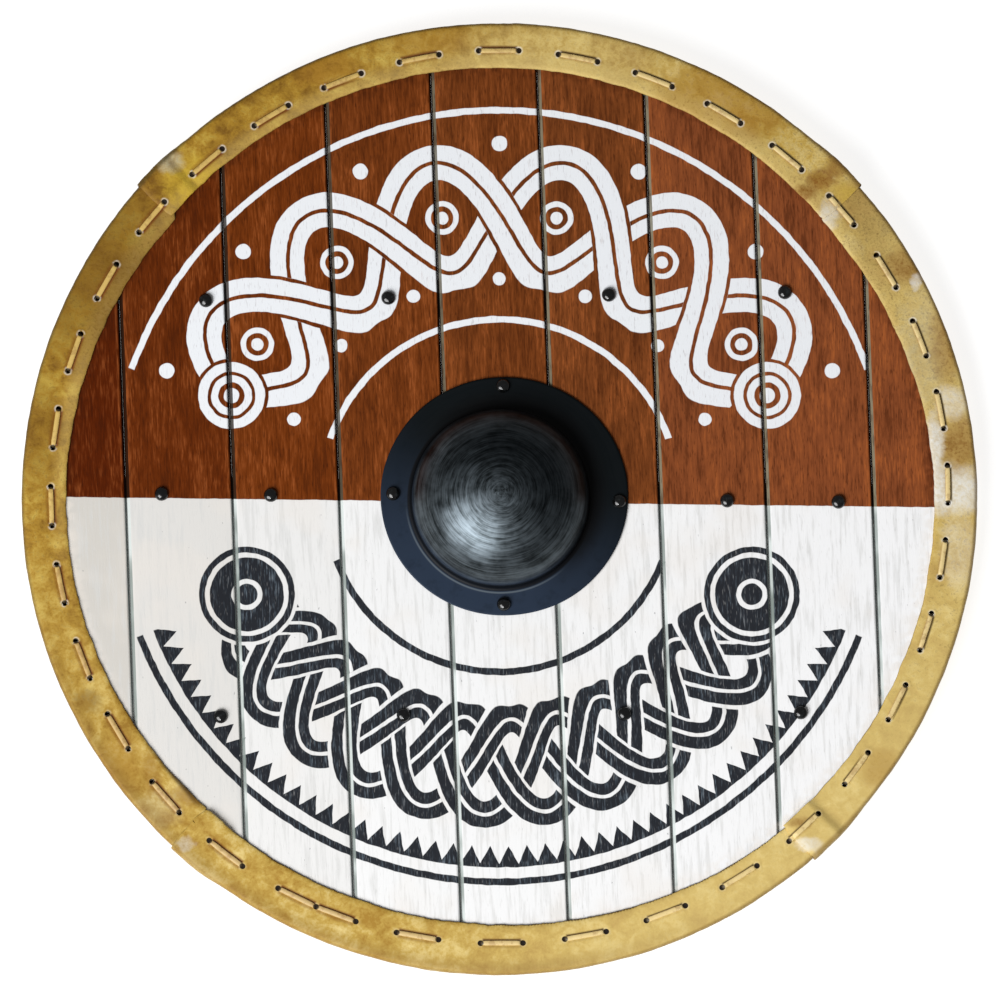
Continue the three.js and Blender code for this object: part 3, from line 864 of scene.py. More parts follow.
def upper_ornament(finish, x, y, radius, angle):
    """White twist of two strands with ringed dots, on the brown half."""
    start, end, lobes = 21, 159, 6
    ring = 240
    step = math.radians((end - start) / lobes)
    turned = angle - math.radians(start)
    inside = turned.rise(0.0, 0.004) * turned.fall(step * lobes - 0.004, step * lobes)
    twist, lines = plait(finish, radius, turned, ring, 2, math.pi / step, 47, 14.5, 3.4, 1.7)
    twist = twist * (1 - lines) * inside
    eyes = repeated_roundels(finish, radius, turned, ring, step / 2, step, ((0, 5.2), (9.5, 14)))
    beads = repeated_roundels(finish, radius, turned, ring + 58, 0, step, ((0, 6.5),))
    small_beads = repeated_roundels(finish, radius, turned, ring - 56, 0, step, ((0, 5.5),))
    span = turned.rise(-0.03, -0.026) * turned.fall(step * lobes + 0.026, step * lobes + 0.03)
    outer_line = abs(radius - 326).below(2.7) * span
    inner_line = abs(radius - 150).below(2.7) * span
    paint = twist.most(eyes * inside).most(outer_line).most(inner_line)
    paint = paint.most(beads * span).most(small_beads * span)
    return end_discs(finish, x, y, paint, ring, (start, end), 31, ((0, 6.5), (11, 17), (20, 28)))


def lower_ornament(finish, x, y, radius, angle):
    """Blue-black plait of three strands under a toothed band, on the white half."""
    start, end, periods = -159, -21, 4
    ring = 226
    reach = math.radians(end - start)
    turned = angle - math.radians(start)
    inside = turned.rise(0.0, 0.004) * turned.fall(reach - 0.004, reach)
    swing = 40 * turned.rise(-0.16, 0.3) * turned.fall(reach - 0.3, reach + 0.16)
    braid, lines = plait(finish, radius, turned, ring, 3, TURN * periods / reach, swing, 11, 3.0, 1.5)
    braid = braid * (1 - lines) * inside
    teeth = 46
    wave = turned * (teeth / reach)
    tooth = abs(wave - wave.floor() - 0.5) * 30
    span = turned.rise(0.0, 0.003) * turned.fall(reach - 0.003, reach)
    band = (radius - tooth).above(292) * radius.below(310) * span
    outer_line = abs(radius - 322).below(2.9) * span
    inner_line = abs(radius - 146).below(2.9) * span
    paint = braid.most(band).most(outer_line).most(inner_line)
    return end_discs(finish, x, y, paint, ring, (start, end), 43, ((0, 9), (13, 31), (35, 40)))


def painted_wood(sizes, colours):
    """Stained and whitewashed boards with their painted ornament, and bare wood behind; a painted sheen
    lightens the right boards, a painted highlight runs beside the grooves, and painted shade darkens the
    right bevels and the slots.
    """
    finish = Finish("painted_wood", IOR=1.45, Specular_IOR_Level=0.06)
    cos, sin = math.cos(sizes.board_lean), math.sin(sizes.board_lean)
    pitch = sizes.mm("board_pitch")
    across = finish.x * cos + finish.y * sin
    along = finish.y * cos - finish.x * sin
    counted = across / pitch + BOARD_COUNT / 2
    number = counted.floor()
    from_left = (counted - number) * pitch
    east = (number + 0.5) / BOARD_COUNT

    def grain(width, length, detail, salt):
        """Noise drawn out along the boards, and different in each of them."""
        return finish.noise(1, detail, 0.55, finish.joined(across / width, along / length, number * salt))

    fibres = grain(1.4, 13, 3, 2.1)
    streaks = grain(3.4, 42, 3, 5.3)
    clouds = grain(20, 60, 2, 4.1)
    pores = grain(0.9, 7, 1, 8.9)
    patches = finish.noise(62, 2, 0.6)

    tone = fibres * 0.4 + streaks * 0.3 + clouds * 0.3
    # Stain from board to board; the lighter, bluer right boards are a painted sheen over the stain
    stain = finish.ramp(east, (
        (0.055, colours.stain_west),
        (0.28, colours.stain_inner),
        (0.6, colours.stain_middle_and_sheen),
        (0.74, colours.stain_east_and_sheen),
    ))
    stain = finish.mix(tone.fall(0.38, 0.51) * 0.5, stain, colours.stain_dark)
    stain = finish.mix(tone.rise(0.48, 0.64) * (0.24 + east * 0.26), stain, colours.stain_light_and_highlight)
    glints = fibres.rise(0.5, 0.72) * clouds.rise(0.46, 0.6)
    stain = finish.mix(glints * (0.22 + east * 0.3), stain, colours.stain_light_and_highlight)
    stain = finish.mix(pores.fall(0.26, 0.42) * 0.5, stain, colours.stain_dark)

    wash = finish.ramp(east, ((0.055, colours.wash_west), (0.33, colours.wash), (0.95, colours.wash_east)))
    washed = streaks.rise(0.48, 0.66) * 0.5 + pores.fall(0.25, 0.4) * 0.3
    wash = finish.mix(washed, wash, colours.wash_streak)
    wash = finish.mix(patches.rise(0.5, 0.68) * 0.3, wash, colours.wash_warm)
    flecks = grain(2.6, 5, 1, 6.7)
    wash = finish.mix(flecks.rise(0.76, 0.84) * 0.5, wash, colours.wash_fleck)

    slip_x = (finish.noise(8, 1) - 0.5) * 1.5
    slip_y = (finish.noise(9, 1, place=finish.vector("ADD", finish.place, (70, 30, 0))) - 0.5) * 1.5
    line = finish.y + 3.6 + finish.x * math.tan(math.radians(0.68)) + slip_x * 0.7
    brown = line.above(0)

    x = finish.x + slip_x
    y = finish.y + slip_y
    radius = finish.hypot(x, y)
    angle = finish.math("ARCTAN2", y, x)
    white_paint = upper_ornament(finish, x, y, radius, angle) * finish.y.rise(0.0, 1.0)
    dark_paint = lower_ornament(finish, x, y, radius, angle) * finish.y.fall(-1.0, 0.0)

    thin = fibres.rise(0.6, 0.76) * 0.2 + pores.fall(0.24, 0.38) * 0.25
    upper = finish.mix(white_paint * (0.98 - thin), stain, colours.paint_white)
    worn = fibres.rise(0.5, 0.7) * (0.25 + clouds.rise(0.42, 0.6) * 0.6)
    dark = finish.mix(worn, colours.paint_dark, colours.paint_dark_worn)
    lower = finish.mix(dark_paint * (0.98 - thin * 0.6), wash, dark)
    face = finish.mix(brown, lower, upper)

    depth = BOARD_FRONT - finish.z
    bevel = sizes.mm("left_bevel")
    from_right = pitch - from_left
    # Painted highlight along the board edges beside the grooves
    lit_edge = from_left.rise(bevel - 0.4, bevel + 0.4) * from_left.fall(bevel + 1.0, bevel + 3.4)
    lit_edge = lit_edge + from_right.rise(2.0, 2.6) * from_right.fall(3.2, 4.6)
    stained = brown * (1 - white_paint)
    face = finish.mix(lit_edge * stained * fibres.rise(0.3, 0.6) * 0.35, face, colours.stain_light_and_highlight)
    bevel_upper = finish.mix(east.rise(0.2, 0.72), colours.bevel_dark, colours.bevel_worn)
    bevel_upper = finish.mix(fibres.fall(0.36, 0.52) * 0.5, bevel_upper, colours.stain_dark)
    bevel_lower = finish.mix(clouds.rise(0.42, 0.6), colours.wash_groove, colours.wash_rubbed)
    bevel_colour = finish.mix(brown, bevel_lower, bevel_upper)
    face = finish.mix(from_left.fall(bevel - 0.4, bevel + 0.2) * 0.92, face, bevel_colour)
    # Painted shade: the right bevels, which face away from the light, and the slots, a dark joint darkened
    # further with depth
    slot_and_shade_colour = finish.mix(brown, colours.wash_slot_and_shade, colours.slot_and_shade_dark)
    shaded = from_right.fall(sizes.mm("right_bevel") - 1.0, sizes.mm("right_bevel") - 0.4)
    face = finish.mix(shaded.most(depth.rise(1.6, 2.0)) * 0.94, face, slot_and_shade_colour)
    grimy = radius.rise(350, 362) * finish.noise(7, 1, 0.6).rise(0.34, 0.6)
    face = finish.mix(grimy * 0.45, face, finish.mix(brown, colours.wash_warm, colours.stain_dark))

    bare_grain = streaks * 0.6 + fibres * 0.4
    bare = finish.ramp(bare_grain, ((0.36, colours.bare_wood_dark), (0.6, colours.bare_wood)))
    front = depth.fall(4.2, 4.6)
    base = finish.mix(front, bare, face)

    gloss = finish.mix(brown, (0.62, 0.62, 0.62), (0.46, 0.46, 0.46))
    roughness = gloss + (fibres - 0.5) * 0.25
    relief = fibres * 0.6 + pores.rise(0.26, 0.42) * 0.3
    return finish.show(base, roughness, relief=relief, relief_height=0.14)


def bare_bars(sizes, colours):
    """Planed wood of the battens and the grip, its grain along them."""
    finish = Finish("planed_wood", IOR=1.45)
    bar = ((finish.y + 90) / 180).floor()
    bend = finish.noise(1, 2, place=finish.joined(finish.x * 0.006, finish.y * 0.01, finish.z * 0.02))
    figure = finish.y + finish.z * 0.6 + bend * 26
    streaks = finish.noise(1, 4, 0.6, finish.joined(finish.x * 0.01, figure * 0.36, bar * 6.1))
    fibres = finish.noise(1, 3, 0.6, finish.joined(finish.x * 0.03, finish.y * 1.4, finish.z * 1.4))
    grain = streaks * 0.65 + fibres * 0.35
    wood = finish.ramp(grain, ((0.32, colours.bare_wood_dark), (0.5, colours.bare_wood)))
    handled = finish.spot((0.9, -0.8), (82, 60)) * 0.45
    base = finish.mix(handled, wood, colours.bare_wood_dark)
    base = finish.mix(fibres.rise(0.62, 0.8) * 0.3, base, colours.stain_dark)
    roughness = 0.58 - handled * 0.35 + (fibres - 0.5) * 0.2
    return finish.show(base, roughness, relief=grain, relief_height=0.18)


def stitch_marks(finish, sizes):
    """Radius, distances from the nearest hole and from the row, whether laced in front, and way along."""
    radius = finish.hypot(finish.x, finish.y)
    angle = finish.math("ARCTAN2", finish.y, finish.x)
    even = angle - finish.math("COSINE", angle + math.radians(40.4)) * math.radians(2.11)
    even = even + finish.math("SINE", angle * 2) * math.radians(0.98)
    passed = (sizes.stitch_start - even) * (HOLE_COUNT / TURN) + HOLE_COUNT
    row = rim_radius(sizes) - sizes.mm("stitch_inset")
    off_hole = (passed - (passed + 0.5).floor()) * (TURN * row / HOLE_COUNT)
    inward = radius - finish.math("SINE", angle * 5) * sizes.mm("stitch_wave") - row
    distance = finish.hypot(off_hole, inward)
    half = finish.math("WRAP", passed, HOLE_COUNT, 0.0).floor() / 2
    laced = (half - half.floor()) < 0.25
    return radius, distance, inward, laced, abs(off_hole)


def rawhide(sizes, colours):
    """Folded rawhide, pale ochre to olive, stained and scuffed, pale round its holes; with painted highlight
    at the inner edge and the lower right, and painted shade on the fold, at the hem, beside the lace and in
    the holes.
    """
    finish = Finish("rawhide", IOR=1.5, Specular_IOR_Level=0.2)
    radius, distance, inward, laced, off_hole = stitch_marks(finish, sizes)
    outer = rim_radius(sizes)
    broad = finish.noise(46, 3, 0.55)
    mottle = finish.noise(12, 4, 0.6, distortion=0.5)
    flecks = finish.noise(2.6, 3, 0.65)
    west = (finish.y * 0.57 - finish.x * 0.82).rise(-20, 380)
    grimy = finish.y.rise(-260, -20)
    tone = broad * 0.4 + mottle * 0.38 + flecks * 0.22
    pale = finish.ramp(tone, ((0.4, colours.hide_dark), (0.5, colours.hide), (0.61, colours.hide_light)))
    ochre = finish.ramp(tone, ((0.4, colours.ochre_dark), (0.5, colours.ochre), (0.61, colours.ochre_light)))
    hide = finish.mix(west, pale, ochre)
    # Painted highlight on the inner band at the top and over the lower right, where light falls; the right
    # side is lighter too
    inner = radius.fall(366, 379) * finish.y.rise(-100, 80) * (0.45 - west * 0.25)
    lit_lower_right = (finish.x - finish.y).rise(240, 560) * 0.55
    upper_right = finish.x.rise(240, 330) * finish.y.rise(-60, 60) * 0.45
    hide = finish.mix(inner.most(lit_lower_right).most(upper_right), hide, colours.hide_light)
    hide = finish.mix(flecks.rise(0.54, 0.68) * (0.1 + grimy * 0.3), hide, colours.hide_brown)
    scuffed = finish.x.rise(140, 320) * finish.y.rise(-70, 40)
    specks = finish.noise(1.8, 2, 0.6)
    hide = finish.mix(mottle.rise(0.47, 0.62) * scuffed * 0.2, hide, colours.hide_olive)
    hide = finish.mix(specks.rise(0.5, 0.64) * scuffed * 0.2, hide, colours.hide_brown)

    swayed_x = finish.x + (mottle - 0.5) * 16
    swayed_y = finish.y + (finish.noise(14, 2, 0.6) - 0.5) * 16
    swayed = finish.joined(swayed_x, swayed_y, 0.0)
    broken = 0.55 + (mottle * 0.5 + flecks * 0.5).rise(0.36, 0.62) * 0.45
    lap = finish.z.rise(RIM_FRONT + 1.1, RIM_FRONT + 1.7)
    for centre, reach, shade, share, layer in RAWHIDE_STAINS:
        patchy = finish.spot(centre, reach, swayed) * broken * share
        if layer != "both":
            patchy = patchy * (lap if layer == "lap" else 1 - lap)
        hide = finish.mix(patchy, hide, getattr(colours, shade))

    # Painted shade on the fold where it curves away, and along the outer band at the lower left
    fold_shade_colour = finish.mix(west, colours.hide_fold_shade, colours.ochre_fold_grime_and_shade)
    fold = radius.rise(outer - 4.4, outer - 0.8) * (0.62 + west * 0.1)
    low_edge_shade = radius.rise(outer - 17, outer - 2) * finish.y.fall(-250, -60) * finish.x.fall(20, 240) * 0.45
    hide = finish.mix(fold.most(low_edge_shade), hide, fold_shade_colour)
    # Dark cut edge along the hem with a painted shadow, strongest at the bottom and at the lower left
    hem = finish.z.fall(BOARD_FRONT + 1.6, BOARD_FRONT + 2.3) * radius.fall(outer - 12, outer - 9)
    hem = hem * finish.z.rise(BOARD_FRONT - 1, BOARD_FRONT) * (0.95 - grimy * 0.7)
    stray = finish.x.fall(-320, -200) * 2.0 + (finish.noise(24, 2) - 0.5) * 5
    hem_stain_and_shadow = (radius + stray).fall(360, 364) * finish.y.fall(-232, -190) * finish.x.fall(-264, -240) * 0.8
    hide = finish.mix(hem.most(hem_stain_and_shadow), hide, colours.hide_hem_and_shadow)

    front = finish.z.rise(BOARD_FRONT - 2, BOARD_FRONT + 1)
    # Painted shadow of the lace, with dirt, on the side away from the light, and fainter on the other side
    away = inward * ((finish.x * 0.8 + finish.y * 0.6).rise(60, 200) * 2 - 1)
    left = finish.x.fall(-140, 160)
    bed = laced * off_hole.rise(0.5, 2.2) * front * abs(inward).fall(2.6, 4.2 + left * 1.4)
    shade = finish.mix(left, colours.hide_shade_east, colours.hide_shade)
    hide = finish.mix(bed * away.rise(0.8, 1.8), hide, shade)
    hide = finish.mix(bed * (-away).rise(1.6, 2.2) * (0.15 + left * 0.35), hide, shade)
    ring = distance.rise(2.2, 2.6) * distance.fall(2.7, 4.3) * finish.noise(4.2, 2).rise(0.3, 0.62)
    hide = finish.mix(ring * (0.12 + grimy * 0.45), hide, colours.hide_pale)
    # Painted shade and dirt inside the holes
    hide = finish.mix(distance.fall(2.2, 2.6), hide, colours.hole_shade_and_dirt)
    roughness = 0.56 + (flecks - 0.5) * 0.5
    relief = mottle * 0.5 + flecks * (0.15 + grimy * 0.35)
    return finish.show(hide, roughness, relief=relief, relief_height=0.5)


def lace_hide(sizes, colours):
    """Cream rawhide lace, soiled along its edges, with painted shade at the lower left and painted shade and
    dirt where it dives into the holes.
    """
    finish = Finish("lace_hide", IOR=1.5)
    _, distance, inward, _, _ = stitch_marks(finish, sizes)
    mottle = finish.noise(6, 3, 0.6)
    fibre = finish.noise(0.8, 3, 0.6)
    west = (finish.y * 0.57 - finish.x * 0.82).rise(-20, 380)
    # Painted shade on the lace at the lower left
    shaded_lower_left = finish.x.fall(-150, 100) * finish.y.fall(-120, 0)
    base = finish.mix(west, colours.lace, colours.lace_ochre)
    base = finish.mix(shaded_lower_left * 0.4, base, colours.lace_dirt_and_shade)
    base = finish.mix(mottle.rise(0.48, 0.64) * 0.4, base, colours.lace_dirt_and_shade)
    base = finish.mix(abs(inward).rise(1.6, 2.3) * 0.5, base, colours.lace_dirt_and_shade)
    # Painted shade and dirt where the lace dives into the holes
    base = finish.mix(distance.fall(1.8, 3.0) * 0.94, base, colours.hole_shade_and_dirt)
    roughness = 0.5 + (fibre - 0.5) * 0.3
    return finish.show(base, roughness, relief=mottle * 0.5 + fibre * 0.5, relief_height=0.18)


def boss_iron(sizes, colours):
    """Brushed dome on a blue-black flange, with painted light at the lower left and painted shade at the
    upper right and round the dome's foot.
    """
    finish = Finish("boss_iron", IOR=1.5, Specular_IOR_Level=0.12)
    centre = dome_centre()
    x = finish.x - centre.x
    y = finish.y - centre.y
    radius = finish.hypot(x, y)
    turned = finish.noise(40, 2, 0.5) * 5
    across = x / (radius + 0.5)
    upward = y / (radius + 0.5)
    arcs = finish.noise(1, 4, 0.65, finish.joined(across * 1.1, upward * 1.1, (radius + turned) * 0.36))
    fine = finish.noise(1, 2, 0.6, finish.joined(across * 2.4, upward * 2.4, radius * 1.25))
    smears = finish.noise(15, 3, 0.6)
    brushed = arcs * 0.44 + fine * 0.26 + smears * 0.3
    dome = finish.mix(brushed.rise(0.36, 0.66), colours.iron_dome_dark, colours.iron_dome)
    # Painted shade: the dome darkens towards its upper right and its flanks, away from the light
    lit_dome_side = (across * -0.62 - upward * 0.78).rise(-1.0, 0.6)
    dome = finish.mix((1 - lit_dome_side) * (radius / 74).rise(0.0, 0.6) * 0.7, dome, colours.iron_flange_dark)
    foot = sizes.mm("dome_radius") + 0.5
    on_flange = radius.rise(foot - 5, foot)
    flange_tone = finish.noise(9, 4, 0.6)
    # Painted light and shade on the flange: lighter at the lower left, dark at the upper right
    lit_side = (across * -0.36 - upward * 0.9).rise(-0.5, 1.05)
    flange = finish.mix(lit_side, colours.iron_flange_dark, colours.iron_flange)
    flange = finish.mix(flange_tone.rise(0.5, 0.68) * 0.2, flange, colours.iron_flange_dark)
    dome_shade = radius.fall(foot + 2, foot + 19) * (across * 0.75 + upward * 0.66).rise(-0.35, 0.5)
    flange = finish.mix(dome_shade * 0.85, flange, colours.iron_rivet_and_shade)
    base = finish.mix(on_flange, dome, flange)
    # Painted shade in the crease at the dome's foot
    crease = radius.rise(foot - 1.6, foot - 0.4) * radius.fall(foot + 2.2, foot + 3.6)
    base = finish.mix(crease * 0.9, base, colours.iron_rivet_and_shade)
    fold_glint = radius.rise(foot + 3.2, foot + 4.0) * radius.fall(foot + 4.4, foot + 5.4)
    base = finish.mix(fold_glint * lit_side.rise(0.6, 1.0) * 0.6, base, colours.iron_dome)
    metallic = 1.0 - on_flange * 0.95
    roughness = 0.4 + (brushed - 0.5) * 0.45 + on_flange * 0.04
    relief = (arcs * 0.6 + fine * 0.4) * (1 - on_flange * 0.7) + flange_tone * on_flange * 0.4
    return finish.show(base, roughness, metallic=metallic, relief=relief, relief_height=0.1)


def rivet_iron(colours):
    """Black forged iron of the rivets."""
    finish = Finish("rivet_iron", IOR=1.6)
    marks = finish.noise(3.2, 3, 0.6)
    base = finish.mix(marks.rise(0.5, 0.7) * 0.6, colours.iron_rivet_and_shade, colours.iron_dome_dark)
    return finish.show(base, 0.08 + marks * 0.12, relief=marks, relief_height=0.2)


def floor_finish(colours):
    """White floor that glows, like a light table, so shadows on it stay soft."""
    grey = (*colours.floor, 1.0)
    white = (1.0, 1.0, 1.0, 1.0)
    finish = Finish("pale_floor", Base_Color=grey, Emission_Color=white, Emission_Strength=0.85)
    finish.material.cycles.emission_sampling = "NONE"
    return finish.material


# Lace

def lace_path(sizes):
    """Places along the lace, with the direction across it and how flat it lies, from knot to knot."""
    half = sizes.mm("lace_thickness") / 2
    hug = 0.95
    bend = ((hug - 0.1, -3.4), (hug, -1.3), (hug + 0.35, 0.0), (hug + 1.05, 0.66), (hug + 2.2, half + 0.06))
    middle = (BOARD_FRONT + BOARD_BACK) / 2
    path = []
    for index in range(HOLE_COUNT):
        front = index % 2 == 0
        start = hole_place(sizes, index)
        end = hole_place(sizes, index + 1)
        run = (end - start).length
        heading = (end - start) / run
        across = heading.cross(Vector((0, 0, 1)))
        sideways = 0.35 * ripple(1.7, index, 3)
        way = 1 if front else -1

        def stand(travel, above):
            spot = start + heading * travel + across * sideways * math.sin(math.pi * travel / run)
            angle = math.atan2(spot.y, spot.x)
            surface = rim_surface(sizes, angle, math.hypot(spot.x, spot.y), front)
            spot.z = surface + way * above
            path.append((spot, across, smooth((min(travel, run - travel) - 1) / 4)))

        if index > 0:
            path.append((Vector((start.x, start.y, middle)), across, 0.0))
        for travel, above in bend:
            stand(travel, above)
        for travel in even_steps(bend[-1][0], run - bend[-1][0], 2.4)[1:-1]:
            arch = 0.14 * math.sin(math.pi * travel / run) * (1 + ripple(2.1, index, 9))
            stand(travel, half + 0.06 + arch)
        for travel, above in reversed(bend):
            stand(run - travel, above)
    knot_height = LACE_LOW + 2.8
    for end, at in ((path[0], 0), (path[-1], len(path) + 1)):
        path.insert(at, (Vector((end[0].x, end[0].y, knot_height)), end[1], 0.0))
    return path


def swept(path, width, thickness, sides=10):
    """Rounded flat strip along a path, a quarter wider where it lies flat than in the holes."""
    points = []
    for index, (spot, across, flatness) in enumerate(path):
        before = path[max(index - 1, 0)][0]
        after = path[min(index + 1, len(path) - 1)][0]
        heading = (after - before).normalized()
        flat = (across - heading * across.dot(heading)).normalized()
        upright = flat.cross(heading)
        scale = 1 + 0.26 * flatness + 0.07 * ripple(9, index * 2.4, 5)
        for side in range(sides):
            angle = TURN * (side + 0.5) / sides
            wide = math.copysign(abs(math.cos(angle)) ** 0.7, math.cos(angle)) * width / 2 * scale
            thick = math.copysign(abs(math.sin(angle)) ** 0.8, math.sin(angle)) * thickness / 2
            points.append(spot + flat * wide + upright * thick)
    return points, skin_faces(len(path), sides)


def knot(centre, heading, steps=56, sides=8):
    """Overhand knot as a closed round cord, its long way along the heading."""
    turned = Matrix.Rotation(heading, 3, "Z")
    cord = 1.15

    def spot(index):
        turn = TURN * index / steps
        x = (math.sin(turn) + 2 * math.sin(2 * turn)) / 3 * 4.3
        y = (math.cos(turn) - 2 * math.cos(2 * turn)) / 3 * 3.3
        return centre + turned @ Vector((x, y, -1.35 * math.sin(3 * turn)))

    points = []
    for index in range(steps):
        here = spot(index)
        forward = (spot(index + 1) - spot(index - 1)).normalized()
        outward = forward.cross(Vector((0, 0, 1))).normalized()
        upright = outward.cross(forward)
        for side in range(sides):
            angle = TURN * side / sides
            points.append(here + outward * cord * math.cos(angle) + upright * cord * math.sin(angle))
    return points, ring_faces(steps, sides, closed=True)


# Boss

def dome_centre():
    """Middle of the dome: the flange's middle, less its shift."""
    middle, _ = node_box("boss")
    return Vector((middle.x - 3.2, middle.y - 1.9, 0))


def boss_skin(sizes):
    """Closed skin of the boss: over the dome and flange, round the edge and back up inside."""
    middle, half = node_box("boss")
    centre = dome_centre()
    wall = sizes.mm("boss_wall")
    radius = sizes.mm("dome_radius")
    neck = BOSS_SEAT + sizes.mm("neck_height")
    flange_top = BOSS_SEAT + wall
    flare = sizes.mm("foot_flare")
    segments = 160

    def cap(reach, top, count):
        turns = [math.pi / 2 * index / count for index in range(1, count + 1)]
        return [(reach * math.sin(turn), neck + (top - neck) * math.cos(turn)) for turn in turns]

    foot = [(radius + flare * (1 - math.cos(turn)), flange_top + flare * (1 - math.sin(turn)))
            for turn in even_steps(0, math.pi / 2, math.pi / 12)]
    neck_wall = [(radius, height) for height in even_steps(neck, flange_top + flare, 1.6)[1:-1]]
    outer = cap(radius, BOSS_TOP, 34) + neck_wall + foot
    edge = 0.75
    rim = [(0.25, flange_top), (0.5, flange_top), (0.75, flange_top), (0.93, flange_top)]
    inner = [(radius - wall, BOSS_SEAT)] + cap(radius - wall, BOSS_TOP - wall, 20)[::-1]

    def flange_edge(angle):
        """Distance from the dome's middle to the flange's edge."""
        forward = Vector((math.cos(angle), math.sin(angle)))
        offset = Vector((centre.x - middle.x, centre.y - middle.y))
        a = (forward.x / half.x) ** 2 + (forward.y / half.y) ** 2
        b = 2 * (forward.x * offset.x / half.x ** 2 + forward.y * offset.y / half.y ** 2)
        c = (offset.x / half.x) ** 2 + (offset.y / half.y) ** 2 - 1
        return (-b + math.sqrt(b * b - 4 * a * c)) / (2 * a)

    points = [Vector((centre.x, centre.y, BOSS_TOP))]
    grid = []
    for segment in range(segments):
        angle = TURN * segment / segments
        brim = flange_edge(angle) - 0.2 + 0.25 * ripple(0.5, math.cos(angle), math.sin(angle))
        last = outer[-1][0]
        column = outer + [(lerp(last, brim, share), height) for share, height in rim]
        column += [(brim - edge + edge * math.cos(turn), flange_top - edge + edge * math.sin(turn))
                   for turn in (math.pi / 2, math.pi / 4, 0)]
        column += [(brim - 0.1, BOSS_SEAT + 0.35), (brim - 0.5, BOSS_SEAT)]
        column += [(lerp(brim, radius - wall, share), BOSS_SEAT) for share in (0.33, 0.66)]
        column += inner
        grid.append([(reach * math.cos(angle), reach * math.sin(angle), height) for reach, height in column])
    rings = len(grid[0])
    for ring in range(rings):
        for segment in range(segments):
            x, y, height = grid[segment][ring]
            dent = 0.22 * ripple(26, x, y, height) + 0.08 * ripple(8, x, y, height)
            dent *= smooth((height - flange_top) / 12)
            points.append(Vector((centre.x + x, centre.y + y, height - abs(dent))))
    points.append(Vector((centre.x, centre.y, BOSS_TOP - wall)))
    faces = []
    for segment in range(segments):
        beside = (segment + 1) % segments
        faces.append((0, 1 + segment, 1 + beside))
        for ring in range(rings - 1):
            here = 1 + ring * segments
            faces.append((here + segment, here + segments + segment, here + segments + beside, here + beside))
        final = 1 + (rings - 1) * segments
        faces.append((final + beside, final + segment, len(points) - 1))
    return points, faces


# Rivets

def rivet_skin(sizes, node, number):
    """Domed head in front, shank, and clenched tail behind, slightly uneven from the hammer."""
    centre, half = node_box(node)
    top = centre.z + half.z
    bottom = centre.z - half.z
    seat = top - sizes.mm("head_height")
    head = sizes.mm("head_radius")
    tail = sizes.mm("tail_radius")
    shank = 2.4
    domed = [(head * math.cos(turn) ** 0.86, seat + 0.5 + (top - seat - 0.5) * math.sin(turn))
             for turn in even_steps(0, math.pi / 2 * 0.94, math.pi / 22)]
    clenched = [(tail * math.sin(turn), bottom + 1.1 - 1.1 * math.cos(turn))
                for turn in even_steps(math.pi / 16, math.pi / 2, math.pi / 12)]
    profile = clenched + [(tail - 0.4, bottom + 1.7), (shank, bottom + 2.1), (shank, seat - 0.2)]
    profile += [(head - 0.5, seat), (head - 0.05, seat + 0.15)] + domed
    segments = 36
    points = []
    for reach, height in profile:
        for segment in range(segments):
            angle = TURN * segment / segments
            uneven = 1 + 0.03 * ripple(0.8, math.cos(angle), math.sin(angle), number * 3.1 + height * 0.1)
            spread = reach * uneven
            points.append((centre.x + spread * math.cos(angle), centre.y + spread * math.sin(angle), height))
    first = len(points)
    points += [(centre.x, centre.y, bottom), (centre.x, centre.y, top)]
    faces = ring_faces(len(profile), segments)
    last = (len(profile) - 1) * segments
    for segment in range(segments):
        beside = (segment + 1) % segments
        faces.append((first, beside, segment))
        faces.append((first + 1, last + segment, last + beside))
    return points, faces


# Bars

def bar_section(half_width, rounding, underside, top):
    """Rounded section of a bar, as places (across, height)."""
    places = []
    corners = ((1, 1, 0), (-1, 1, 90), (-1, -1, 180), (1, -1, 270))
    for across, upward, start in corners:
        centre_height = top - rounding if upward > 0 else underside + rounding
        for step in range(5):
            angle = math.radians(start + 22.5 * step)
            places.append((
                across * (half_width - rounding) + rounding * math.cos(angle),
                centre_height + rounding * math.sin(angle),
            ))
    return places


def bar_skin(sizes, node, gripped):
    """One bar behind the boards, bevelled under its ends, and rounded for the hand if it is gripped."""
    middle, reach = node_box(node)
    half_width = sizes.mm("bar_width") / 2
    rise = math.asin(clamp((reach.y - half_width) / reach.x, 0, 0.1))
    rise = -rise if gripped else rise
    half = (reach.x - half_width * abs(math.sin(rise))) / math.cos(rise)
    bevel = 8
    hole = sizes.mm("hand_hole")
    stations = sorted({*even_steps(-half, half, 8), -half + bevel, half - bevel, -half + 0.8, half - 0.8,
                       -half + bevel + 1.5, half - bevel - 1.5})
    rings = []
    for along in stations:
        from_end = half - abs(along)
        underside = clamp(bevel - from_end, 0, bevel)
        hand = 1 - smooth((abs(along - 0.9) - hole) / 16) if gripped else 0.0
        width = lerp(half_width, sizes.mm("grip_width") / 2, hand)
        rounding = lerp(2.0, 6.5, hand)
        if from_end < 0.5:
            width -= 0.5
            underside += 0.3
        tremble = 0.2 * ripple(40, along, middle.y)
        section = bar_section(width, rounding, underside, BAR_TOP)
        ring = []
        for across, height in section:
            wander = 0.12 * ripple(18, along, across, height + middle.y)
            lowered = max(height + wander - 0.1 if height > 9 else height + abs(wander), 0.0)
            ring.append(Vector((along, across * (1 + tremble * 0.01) + wander, lowered)))
        rings.append(ring)
    turned = Matrix.Rotation(rise, 3, "Z")
    points = [turned @ place + Vector((middle.x, middle.y, 0)) for ring in rings for place in ring]
    return points, skin_faces(len(rings), len(rings[0]))


